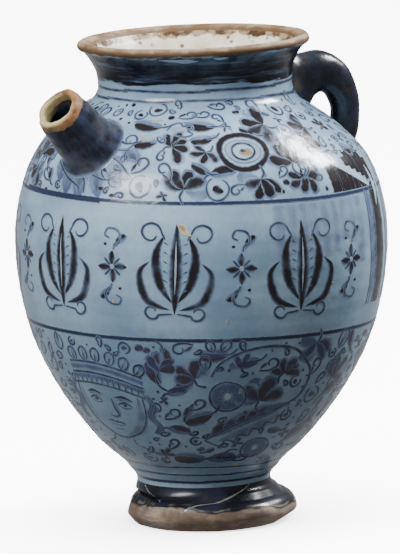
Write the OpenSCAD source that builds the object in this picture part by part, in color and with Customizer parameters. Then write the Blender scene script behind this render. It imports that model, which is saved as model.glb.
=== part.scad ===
// Spouted glazed earthenware jar: thrown belly, collar and foot, with a pulled handle and a
// thrown spout, all luted together with slip and glazed. Millimetres. Origin at the centre of
// the flat base, +Z up, spout towards -X.

/* [Body] */
// Greatest radius of the belly
belly_radius = 93.2; // [88:0.1:100]
// Height of the greatest radius above the base
belly_height = 142; // [130:1:150]
// Radius of the belly's upper curve next to the greatest radius
belly_curve = 94; // [88:1:110]
// Rise of that upper curve before the tighter shoulder curve takes over
belly_curve_rise = 30; // [20:1:36]
// Thickness of the thrown wall
wall = 5.5; // [4:0.1:7]
// Height of the flat floor inside the belly
floor_height = 28; // [26:0.5:34]

/* [Neck and rim] */
// Outer radius of the neck at its narrowest
neck_radius = 48.5; // [44:0.1:52]
// Rise from the belly's greatest radius to the narrowest part, where the collar is seated
shoulder_rise = 76.6; // [70:0.1:84]
// Radius of the hollow curve from shoulder to neck
neck_fillet = 8; // [6:0.5:12]
// Height of the collar, from its seat to the rim's top
collar_height = 21.4; // [16:0.1:30]
// Outer radius of the rim
rim_radius = 57.2; // [55:0.1:62]
// Radius of the rounded lip
lip_radius = 2.4; // [1.5:0.1:3]
// Depth of the collar's tenon inside the body
neck_tenon_depth = 5; // [3:0.5:7]
// Thickness of the collar's tenon
neck_tenon_wall = 2.6; // [2:0.1:3.2]

/* [Foot] */
// Radius of the waist between body and foot
waist_radius = 33.7; // [30:0.1:36]
// Height of the waist, where the body is seated on the foot
waist_height = 20.1; // [18:0.1:23]
// Radius of the hollow curve around the waist
waist_fillet = 5; // [3:0.5:7]
// Outer radius of the foot's rolled flange
flange_radius = 41.4; // [39:0.1:45]
// Radius of the flange's roll
flange_roll = 5.4; // [4:0.1:6]
// Height of the roll's centre
flange_height = 8; // [7:0.1:9]
// Radius of the base ring under the roll
base_radius = 39.5; // [36:0.1:41]
// Height of the base ring
base_ring_height = 3; // [2:0.1:3.2]
// Width of the base ring's rounded-off edge
base_edge = 0.8; // [0.4:0.1:1.2]
// Radius of the body's stem tenon
stem_radius = 18; // [12:0.5:22]
// Length of the stem tenon
stem_length = 8; // [5:0.5:10]

/* [Spout] */
// Place on the shoulder's curve where the spout's axis meets the wall, in degrees
spout_seat = 39.56; // [34:0.01:46]
// Slope of the spout above level, in degrees
spout_slope = 44.7; // [40:0.1:50]
// Outer radius of the spout at its tip
spout_tip_radius = 12.4; // [11:0.1:14]
// Outer radius of the spout where its axis meets the wall
spout_root_radius = 16.13; // [15:0.01:19]
// Length of the spout's axis from the tip to the wall
spout_length = 29.84; // [26:0.01:34]
// Radius of the spout's bore
spout_bore = 8; // [6:0.1:9.5]
// Rounding of the spout's tip
spout_lip = 1.6; // [0.8:0.1:2]

/* [Handle] */
// Radius of the handle's round section
handle_radius = 7; // [5.5:0.1:8]
// Rise of the handle's level top above the collar's seat, at its centreline
handle_rise = 3.9; // [0:0.1:6]
// Distance of the grip's centreline inside the belly's greatest radius
handle_inset = 8.2; // [4:0.1:14]
// Radius of the bend from the level top to the grip
handle_bend = 18; // [15:0.1:22]
// Radius of the grip's long curve
grip_curve = 80; // [70:1:100]
// Turn of the handle away from the far side of the spout, in degrees
handle_turn = -15; // [-25:1:0]

/* [Luting slip and glaze] */
// Radius of the slip bead in the neck and foot seams
bead_radius = 1.5; // [1:0.1:2]
// Depth of the bead's centre below the surface
bead_depth = 0.9; // [0.5:0.1:1.2]
// Radius of the hollow skirt of slip around the spout
spout_skirt = 9; // [7:0.5:12]
// Height of the skirt's upper edge above the wall, along the spout
skirt_rise = 6.3; // [5:0.1:9]
// Thickness of the skirt's upper edge
skirt_edge = 0.4; // [0.3:0.1:1]
// Radius of the rounded pads of slip at the handle's ends
pad_radius = 17; // [15:0.5:20]
// Height of a pad above the surface it is pressed on
pad_rise = 6; // [4:0.1:7]
// Drop of the upper pad's centre below the handle's centreline
pad_drop = 5; // [3:0.1:7]
// Thickness of the glaze that lines the inside
glaze = 0.5; // [0.3:0.1:0.8]
// Depth below the rim's top where the lining ends
lining_drop = 4; // [3:0.5:6]
// Clearance between a tenon and its socket
clearance = 0.15; // [0.1:0.01:0.3]

/* [Hidden] */
$fn = 192;
// Straight stretches in an arc and in a pad's dome, and sides of the handle's round section
steps = 14;
dome_steps = 10;
handle_sides = 24;
// Length of spout that is taken past the wall and then cut off along it
scarf_depth = 28;
// Angles where the lip, the flange's roll and the hollow curves begin and end
lip_start = -80;
roll_start = -62;
roll_end = 96;
waist_sweep = 52;
skirt_sweep = 78;

// Heights above the base that follow from the sizes
neck_height = belly_height + shoulder_rise;
jar_height = neck_height + collar_height;
handle_height = neck_height + handle_rise;
handle_reach = belly_radius - handle_inset;

// Lower belly: one arc, level at the belly and tangent to the waist's hollow curve
waist_centre = [waist_radius + waist_fillet, waist_height];
lower_in = belly_radius - waist_centre[0];
lower_down = belly_height - waist_height;
lower_curve = (lower_in ^ 2 + lower_down ^ 2 - waist_fillet ^ 2) / (2 * (lower_in + waist_fillet));
lower_centre = [belly_radius - lower_curve, belly_height];
lower_angle = atan2(waist_centre[1] - lower_centre[1], waist_centre[0] - lower_centre[0]);

// Upper belly, then the shoulder arc that is tangent to it and to the neck's hollow curve
upper_centre = [belly_radius - belly_curve, belly_height];
upper_angle = asin(belly_curve_rise / belly_curve);
upper_normal = [cos(upper_angle), sin(upper_angle)];
upper_end = upper_centre + belly_curve * upper_normal;
neck_centre = [neck_radius + neck_fillet, neck_height];
span = upper_end - neck_centre;
shoulder_curve = (span * span - neck_fillet ^ 2) / (2 * (span * upper_normal + neck_fillet));
shoulder_centre = upper_end - shoulder_curve * upper_normal;
shoulder_angle = atan2(neck_centre[1] - shoulder_centre[1], neck_centre[0] - shoulder_centre[0]);

// Collar: a hollow flare from the narrowest part to the underside of the lip
flare_out = rim_radius - lip_radius - neck_radius;
flare_up = jar_height - 2 * lip_radius - neck_height;
flare_curve = (flare_out ^ 2 + flare_up ^ 2) / (2 * flare_out);
flare_centre = [neck_radius + flare_curve, neck_height];
flare_angle = asin(flare_up / flare_curve);
lip_centre = [rim_radius - lip_radius, jar_height - lip_radius];

// Collar tenon and its rebate in the body
throat_radius = neck_radius - wall;
tenon_radius = throat_radius + neck_tenon_wall;

// Spout and handle values that several pieces share
spout_taper = (spout_root_radius - spout_tip_radius) / spout_length;
spout_depth = spout_length + scarf_depth;
skirt_top = skirt_rise - spout_length;
spout_tip = shoulder_centre + shoulder_curve * [cos(spout_seat), sin(spout_seat)]
            + spout_length * [cos(spout_slope), sin(spout_slope)];
bend_centre = [handle_reach - handle_bend, handle_height - handle_bend];
grip_centre = handle_reach - grip_curve;
upper_root = flare_centre[0] - sqrt(flare_curve ^ 2 - (handle_height - neck_height) ^ 2);
lower_root = circles_meet([grip_centre, bend_centre[1]], grip_curve, shoulder_centre, shoulder_curve);
lower_slope = atan2(lower_root[1] - shoulder_centre[1], lower_root[0] - shoulder_centre[0]);
// The grip is swept as far again past its root, and that end is cut off along the wall
grip_sweep = 2 * asin((bend_centre[1] - lower_root[1]) / grip_curve);
flange_centre = [flange_radius - flange_roll, flange_height];
pad_stop = asin(pad_radius / neck_radius);

// Colours
blue_glaze = [0.52, 0.62, 0.72];
dark_glaze = [0.16, 0.19, 0.28];
bare_clay = [0.48, 0.37, 0.28];
cream_glaze = [0.86, 0.82, 0.72];

// Points on a round arc from one angle to another
function arc(centre, radius, from, to, count = steps) =
    [for (i = [0 : count]) centre + radius * [cos(from + (to - from) * i / count),
                                              sin(from + (to - from) * i / count)]];

// The same points in the opposite order
function reversed(points) = [for (i = [len(points) - 1 : -1 : 0]) points[i]];

// Of the two points where two circles cross, the one farther from the jar's axis
function circles_meet(first, first_radius, second, second_radius) =
    let (gap = second - first,
         distance = norm(gap),
         along = gap / distance,
         reach = (first_radius ^ 2 - second_radius ^ 2 + distance ^ 2) / (2 * distance),
         aside = sqrt(first_radius ^ 2 - reach ^ 2) * [-along[1], along[0]],
         one = first + reach * along + aside,
         other = first + reach * along - aside)
        one[0] > other[0] ? one : other;

// Belly and shoulder as one curve, set inside the outer surface by inset
function belly_curve_points(inset, start_angle) = concat(
    arc(lower_centre, lower_curve - inset, start_angle, 0),
    arc(upper_centre, belly_curve - inset, 0, upper_angle),
    arc(shoulder_centre, shoulder_curve - inset, upper_angle, shoulder_angle));

// Outside of the body from the waist to the neck's narrowest part
function body_outside() = concat(
    arc(waist_centre, waist_fillet, 180, lower_angle + 180),
    belly_curve_points(0, lower_angle),
    arc(neck_centre, neck_fillet, shoulder_angle + 180, 180));

// Angle on the inset lower curve where it reaches the height of the floor
function floor_angle(inset, height) = -asin((belly_height - height) / (lower_curve - inset));

// Inside of the body from the floor to the foot of the neck's hollow curve
function cavity(inset, height) = concat(
    [[0, height]],
    belly_curve_points(inset, floor_angle(inset, height)));

// Inside of the neck's hollow curve up to a depth below the seam
function throat(inset, depth) =
    arc(neck_centre, neck_fillet + inset, shoulder_angle + 180,
        180 + asin(depth / (neck_fillet + inset)));

// Inside of the flared collar up to a given height
function flare_inside(inset, height) =
    arc(flare_centre, flare_curve + inset, 180,
        180 - asin((height - neck_height) / (flare_curve + inset)));

// Solid that fills the outside of body and neck, used to scarf what is luted on
module envelope() {
    rotate_extrude()
        polygon(concat([[0, waist_height]], body_outside(),
                       arc(flare_centre, flare_curve, 180, 180 - flare_angle),
                       [[flare_centre[0] - flare_curve * cos(flare_angle), jar_height + pad_radius],
                        [0, jar_height + pad_radius]]));
}

// Ring of slip lying in a seam, left open by stop degrees each side of the handle
module bead(radius, height, stop = 0) {
    rotate([0, 0, handle_turn + stop])
        rotate_extrude(angle = 360 - 2 * stop)
            translate([radius - bead_depth, height])
                circle(r = bead_radius);
}

// Places its children on the spout's axis, tip at the origin and outwards along +Z
module at_spout() {
    translate([-spout_tip[0], 0, spout_tip[1]])
        rotate([0, spout_slope - 90, 0])
            children();
}

// Bore through the spout, the wall and the lining
module spout_way() {
    at_spout()
        translate([0, 0, -spout_depth])
            cylinder(r = spout_bore, h = spout_depth + spout_lip);
}

// Outside of the spout as a solid cone
module spout_cone() {
    at_spout()
        rotate_extrude()
            polygon(concat(
                [[0, -spout_depth], [spout_tip_radius + spout_taper * spout_depth, -spout_depth]],
                arc([spout_tip_radius - spout_lip, -spout_lip], spout_lip, 0, 90, steps / 2),
                [[0, 0]]));
}

// Hollow skirt around a round end: a thin edge at the top, flared below
module skirt(radius, curve, depth) {
    rotate_extrude()
        polygon(concat([[0, 0]], arc([radius + skirt_edge + curve, 0], curve, 180, 180 + skirt_sweep, steps / 2),
                       [[radius + skirt_edge + curve, -depth], [0, -depth]]));
}

// Dome of slip that stands pad_rise proud of a root, facing out at a slope above level
module pad(root, slope) {
    translate([root[0], 0, root[1]])
        rotate([0, 90 - slope, 0])
            translate([0, 0, pad_rise - pad_radius])
                rotate_extrude()
                    polygon(concat([[0, -pad_radius]], arc([0, 0], pad_radius, 0, 90, dome_steps)));
}

// Round section of the handle, as a many-sided outline
module handle_section() {
    polygon([for (i = [0 : handle_sides - 1]) handle_radius * [cos(360 * i / handle_sides),
                                                              sin(360 * i / handle_sides)]]);
}

// Handle as a whole rod, before its ends are scarfed
module handle_rod() {
    rotate([0, 0, handle_turn]) {
        translate([throat_radius, 0, handle_height])
            rotate([90, 0, 90])
                linear_extrude(height = bend_centre[0] - throat_radius)
                    handle_section();
        translate([bend_centre[0], 0, bend_centre[1]])
            rotate([90, 0, 0])
                rotate_extrude(angle = 90)
                    translate([handle_bend, 0])
                        handle_section();
        translate([grip_centre, 0, bend_centre[1]])
            rotate([90, 0, 0])
                mirror([0, 1, 0])
                    rotate_extrude(angle = grip_sweep)
                        translate([grip_curve, 0])
                            handle_section();
    }
}

// Thrown belly with the shoulder, the seat for the collar and the stem for the foot
module body() {
    color(blue_glaze)
        difference() {
            rotate_extrude()
                polygon(concat(
                    [[0, waist_height - stem_length], [stem_radius, waist_height - stem_length],
                     [stem_radius, waist_height]],
                    body_outside(),
                    [[tenon_radius + clearance, neck_height],
                     [tenon_radius + clearance, neck_height - neck_tenon_depth]],
                    reversed(throat(wall, neck_tenon_depth)),
                    reversed(cavity(wall, floor_height))));
            bead(neck_radius, neck_height, pad_stop);
            bead(waist_radius, waist_height);
            spout_way();
        }
}

// Flared collar with the rim and a tenon that drops into the body
module neck() {
    color(blue_glaze)
        difference() {
            rotate_extrude()
                polygon(concat(
                    [[tenon_radius, neck_height - neck_tenon_depth], [tenon_radius, neck_height]],
                    arc(flare_centre, flare_curve, 180, 180 - flare_angle),
                    arc(lip_centre, lip_radius, lip_start, 90, steps / 2),
                    reversed(flare_inside(wall, jar_height - lip_radius / 2)),
                    reversed(arc(neck_centre, neck_fillet + wall,
                                 180 + asin(neck_tenon_depth / (neck_fillet + wall)), 180, steps / 2))));
            bead(neck_radius, neck_height, pad_stop);
        }
}

// Rolled foot with a base ring and a socket for the stem
module foot() {
    color(bare_clay)
        difference() {
            rotate_extrude()
                polygon(concat(
                    [[0, 0], [base_radius - base_edge, 0], [base_radius, base_edge],
                     [base_radius, base_ring_height]],
                    arc(flange_centre, flange_roll, roll_start, roll_end),
                    reversed(arc(waist_centre, waist_fillet, 180, 180 + waist_sweep, steps / 2)),
                    [[stem_radius + clearance, waist_height],
                     [stem_radius + clearance, waist_height - stem_length - clearance],
                     [0, waist_height - stem_length - clearance]]));
            bead(waist_radius, waist_height);
        }
}

// Tapered spout, scarfed to the shoulder
module spout() {
    color(dark_glaze)
        difference() {
            spout_cone();
            envelope();
            spout_way();
        }
}

// Round handle, scarfed to the neck and the shoulder
module handle() {
    color(dark_glaze)
        difference() {
            handle_rod();
            envelope();
        }
}

// Slip bead in the neck seam
module neck_slip() {
    color(blue_glaze)
        bead(neck_radius, neck_height, pad_stop);
}

// Slip bead in the foot seam
module foot_slip() {
    color(dark_glaze)
        bead(waist_radius, waist_height);
}

// Skirt of slip around the root of the spout
module spout_slip() {
    color(dark_glaze)
        difference() {
            at_spout()
                translate([0, 0, skirt_top])
                    skirt(spout_tip_radius - spout_taper * skirt_top, spout_skirt, 2 * spout_skirt);
            spout_cone();
            envelope();
        }
}

// Rounded pad of slip pressed on the neck around the handle's upper end
module handle_top_slip() {
    color(dark_glaze)
        difference() {
            rotate([0, 0, handle_turn])
                pad([upper_root, handle_height - pad_drop], 0);
            envelope();
            handle_rod();
        }
}

// Rounded pad of slip pressed on the shoulder around the handle's lower end
module handle_bottom_slip() {
    color(dark_glaze)
        difference() {
            rotate([0, 0, handle_turn])
                pad(lower_root, lower_slope);
            envelope();
            handle_rod();
        }
}

// Glaze that lines the inside of body and collar
module interior_glaze() {
    color(cream_glaze)
        difference() {
            rotate_extrude()
                polygon(concat(
                    cavity(wall, floor_height),
                    throat(wall, 0),
                    flare_inside(wall, jar_height - lining_drop),
                    reversed(flare_inside(wall + glaze, jar_height - lining_drop)),
                    reversed(throat(wall + glaze, 0)),
                    reversed(cavity(wall + glaze, floor_height + glaze))));
            spout_way();
        }
}

body();
neck();
foot();
spout();
handle();
neck_slip();
foot_slip();
spout_slip();
handle_top_slip();
handle_bottom_slip();
interior_glaze();
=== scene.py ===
"""Painted, tin-glazed spouted jar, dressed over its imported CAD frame.

Every piece is in metres in the CAD frame: origin at the centre of the base, +Z up, spout towards -X.
Sizes in the classes are in millimetres unless they say otherwise, and turns are in degrees to the right
of the painted front.
"""

import bisect
import functools
import logging
import random
from dataclasses import dataclass, field
from enum import Enum
from math import asin, atan2, ceil, cos, degrees, dist, exp, hypot, pi, radians, sin, sqrt, tan
from typing import Callable, Sequence

import bmesh
import bpy
from mathutils import Matrix, Vector

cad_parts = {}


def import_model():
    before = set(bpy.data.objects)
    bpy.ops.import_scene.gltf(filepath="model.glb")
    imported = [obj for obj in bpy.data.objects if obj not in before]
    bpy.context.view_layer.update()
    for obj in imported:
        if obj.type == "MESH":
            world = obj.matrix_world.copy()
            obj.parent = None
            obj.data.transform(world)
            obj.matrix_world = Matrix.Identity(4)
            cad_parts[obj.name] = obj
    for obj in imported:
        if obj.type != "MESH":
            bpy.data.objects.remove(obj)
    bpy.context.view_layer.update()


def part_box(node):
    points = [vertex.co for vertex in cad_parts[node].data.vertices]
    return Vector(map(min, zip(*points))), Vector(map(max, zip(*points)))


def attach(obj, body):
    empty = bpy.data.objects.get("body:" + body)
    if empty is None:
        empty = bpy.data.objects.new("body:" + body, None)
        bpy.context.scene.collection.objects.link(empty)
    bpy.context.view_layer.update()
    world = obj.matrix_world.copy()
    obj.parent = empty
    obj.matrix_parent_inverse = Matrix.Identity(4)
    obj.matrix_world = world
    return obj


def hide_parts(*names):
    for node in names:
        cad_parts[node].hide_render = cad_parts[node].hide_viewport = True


LOG = logging.getLogger("jar")
MM = 0.001
SHARP_EDGE = 0.7
FRONT = radians(-135.0)
RIGHT = Vector((-sin(FRONT), cos(FRONT), 0.0))
Point = tuple[float, float]
Path = Sequence[Point]
Zone4 = tuple[float, float, float, float]
Colour = tuple[float, float, float, float]
Work = bmesh.types.BMesh
Material = bpy.types.Material
Piece = bpy.types.Object
Socket = bpy.types.NodeSocket
Source = Socket | float | Sequence[float]
Ring = Callable[[float], Vector]


def ease(start: float, end: float, value: float) -> float:
    """Gives a smooth step from 0, where a value is at the start, to 1, where it is at the end."""
    share = min(1.0, max(0.0, (value - start) / (end - start)))
    return share * share * (3.0 - 2.0 * share)


def plateau(zone: Zone4, value: float, full: float) -> float:
    """Gives a size that is full inside a zone, with a smooth step at each end of it."""
    start, end, fall, last = zone
    return full * ease(start, end, value) * (1 - ease(fall, last, value))


def swell(middle: float, spread: float, value: float) -> float:
    """Gives a round swell: 1 at its middle, and less on both sides."""
    return exp(-((value - middle) / spread) ** 2)


def fade(beyond: float, spread: float, power: float = 2.0) -> float:
    """Gives 1 up to a place, and less the further a point is beyond it."""
    return exp(-(max(0.0, beyond) / spread) ** power)


def apart(turn: float, middle: float) -> float:
    """Gives the turn from a middle, at most half a turn either way, in radians."""
    return (turn - middle + pi) % (2 * pi) - pi


class Paint(Enum):
    """Paints on the skin, each with its lift above the glaze in millimetres."""

    WASH = 0.035
    OCHRE = 0.05
    DARK = 0.065
    LINE = 0.09
    SCRATCH = 0.115
    CHIP = 0.14


WASH, OCHRE, DARK, LINE, SCRATCH, CHIP = Paint


class Zone(Enum):
    """Painted zones, each with its own sheets."""

    SHOULDER = "shoulder"
    BAND = "band"
    FOLIAGE = "foliage"


class Shine(Enum):
    """Whether a lamp shows as a highlight on the glaze."""

    FULL = True
    SOFT = False


class Sum(Enum):
    """Arithmetic steps in a material."""

    ADD = "ADD"
    SUBTRACT = "SUBTRACT"
    MULTIPLY = "MULTIPLY"
    POWER = "POWER"


class Motif(Enum):
    """Stock motifs, each named for the method that paints it."""

    DOT = "dot"
    LEAF = "leaf"
    BOW = "bow"
    CLUSTER = "cluster"
    BUD = "bud"
    CURL = "curl"
    LOOP = "loop"
    TENDRIL = "tendril"
    TREFOIL = "trefoil"
    ROSETTE = "rosette"
    FLOWER = "flower"
    PLUME = "plume"


DOT, LEAF, BOW, CLUSTER, BUD, CURL, LOOP, TENDRIL, TREFOIL, ROSETTE, FLOWER, PLUME = Motif


class Nib(Enum):
    """Ways in which a brush stroke's width runs along it."""

    LINE = "line"
    LEAF = "leaf"
    DROP = "drop"
    LOBE = "lobe"
    BLOB = "blob"
    BAND = "band"

    def share(self, along: float) -> float:
        """Gives the width's share of the full width.

        Args:
            along: Place on the stroke, from 0 to 1.

        Returns:
            A share from 0 to 1.
        """
        if self is Nib.LINE:
            return 0.45 + 0.55 * sin(pi * along) ** 0.5
        if self is Nib.LEAF:
            return sin(pi * along) ** 0.8
        if self is Nib.DROP:
            return sin(pi * along ** 1.7) ** 0.75
        if self is Nib.LOBE:
            return sqrt(max(0.0, 1.0 - abs(2.0 * along ** 1.5 - 1.0) ** 2.5))
        if self is Nib.BLOB:
            return sqrt(max(0.0, 1.0 - (2.0 * along - 1.0) ** 2))
        return 1.0


@dataclass(frozen=True)
class Arc:
    """Round stretch of a turned outline, in millimetres and degrees."""

    across: float
    height: float
    radius: float
    start: float
    end: float

    def points(self, spacing: float, inset: float = 0.0) -> list[Point]:
        """Walks along the arc.

        Args:
            spacing: Greatest distance between two points.
            inset: Distance of the points inside the arc.

        Returns:
            Points as radius from the jar's axis and height.
        """
        radius = self.radius - inset
        count = max(3, ceil(abs(radians(self.end - self.start)) * radius / spacing))
        turns = (radians(self.start + (self.end - self.start) * i / count) for i in range(count + 1))
        return [(self.across + radius * cos(t), self.height + radius * sin(t)) for t in turns]


@dataclass
class JarForm:
    """Turned outline of the jar, with the main sizes read from the frame."""

    belly_radius: float
    jar_height: float
    rim_radius: float
    flange_radius: float
    waist_height: float
    belly_height: float = 142.0
    belly_curve: float = 94.0
    curve_rise: float = 30.0
    wall: float = 5.5
    floor_height: float = 28.0
    neck_radius: float = 48.5
    neck_fillet: float = 8.0
    collar_height: float = 21.4
    lip_radius: float = 2.4
    waist_radius: float = 33.7
    waist_fillet: float = 5.0
    flange_roll: float = 5.4
    flange_height: float = 8.0
    base_radius: float = 36.8
    base_edge: float = 0.7
    stem_radius: float = 18.0
    stem_length: float = 8.0
    glaze: float = 0.5
    lining_drop: float = 2.8

    @classmethod
    def from_frame(cls) -> "JarForm":
        """Reads the main sizes from the boxes of the CAD nodes."""
        body, neck, foot = (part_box(name)[1] / MM for name in ("body", "neck", "foot"))
        return cls(body.x, neck.z, neck.x, foot.x, foot.z)

    def __post_init__(self) -> None:
        """Works out the tangent arcs of the outline."""
        self.neck_height = self.jar_height - self.collar_height
        self.shape_belly()
        self.shape_collar()

    def shape_belly(self) -> None:
        """Works out the arcs from the waist to the collar's seat."""
        hollow = Vector((self.waist_radius + self.waist_fillet, self.waist_height))
        inward = self.belly_radius - hollow.x
        down = self.belly_height - hollow.y
        curve = (inward ** 2 + down ** 2 - self.waist_fillet ** 2) / (2 * (inward + self.waist_fillet))
        low = degrees(atan2(-down, curve - inward))
        self.waist = Arc(hollow.x, hollow.y, self.waist_fillet, 180, 180 + low)
        self.lower = Arc(self.belly_radius - curve, self.belly_height, curve, low, 0)
        rise = asin(self.curve_rise / self.belly_curve)
        high = degrees(rise)
        normal = Vector((cos(rise), sin(rise)))
        across = self.belly_radius - self.belly_curve
        self.upper = Arc(across, self.belly_height, self.belly_curve, 0, high)
        joint = Vector((self.upper.across, self.upper.height)) + self.belly_curve * normal
        neck = Vector((self.neck_radius + self.neck_fillet, self.neck_height))
        span = joint - neck
        tight = (span.dot(span) - self.neck_fillet ** 2) / (2 * (span.dot(normal) + self.neck_fillet))
        centre = joint - tight * normal
        top = degrees(atan2(neck.y - centre.y, neck.x - centre.x))
        self.shoulder = Arc(centre.x, centre.y, tight, high, top)
        self.throat = Arc(neck.x, neck.y, self.neck_fillet, top + 180, 180)

    def shape_collar(self) -> None:
        """Works out the arcs of the flared collar and its lip."""
        out = self.rim_radius - self.lip_radius - self.neck_radius
        up = self.collar_height - 2 * self.lip_radius
        flare = (out ** 2 + up ** 2) / (2 * out)
        end = 180 - degrees(asin(up / flare))
        self.flare = Arc(self.neck_radius + flare, self.neck_height, flare, 180, end)
        middle = self.jar_height - self.lip_radius
        self.lip = Arc(self.rim_radius - self.lip_radius, middle, self.lip_radius, -80, 90)

    def foot_outside(self, spacing: float, start: float) -> list[Point]:
        """Walks the outside of the foot from an angle on its roll up to the waist."""
        roll = Arc(self.flange_radius - self.flange_roll, self.flange_height, self.flange_roll, start, 90)
        hollow = Arc(self.waist.across, self.waist.height, self.waist_fillet, 232, 180)
        return roll.points(spacing) + hollow.points(spacing)

    def body_outside(self, spacing: float) -> list[Point]:
        """Walks the outside of the body from the waist to the collar's seat."""
        arcs = (self.waist, self.lower, self.upper, self.shoulder, self.throat)
        return [point for arc in arcs for point in arc.points(spacing)]

    def inside(self, spacing: float, inset: float, floor: float) -> list[Point]:
        """Walks the inside from the middle of the floor to the collar's seat.

        Args:
            spacing: Greatest distance between two points.
            inset: Distance inside the outer surface.
            floor: Height of the floor.

        Returns:
            Points as radius and height.
        """
        start = -degrees(asin((self.belly_height - floor) / (self.lower.radius - inset)))
        lower = Arc(self.lower.across, self.lower.height, self.lower.radius, start, 0)
        walk = [(0.0, floor)]
        for arc in (lower, self.upper, self.shoulder):
            walk += arc.points(spacing, inset)
        return walk + self.throat.points(spacing, -inset)

    def collar_inside(self, spacing: float, inset: float, top: float) -> list[Point]:
        """Walks the inside of the collar from its seat up to a height.

        Args:
            spacing: Greatest distance between two points.
            inset: Distance inside the outer surface.
            top: Height where the walk ends.

        Returns:
            Points as radius and height.
        """
        radius = self.flare.radius + inset
        end = 180 - degrees(asin((top - self.neck_height) / radius))
        return Arc(self.flare.across, self.flare.height, radius, 180, end).points(spacing)


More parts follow.
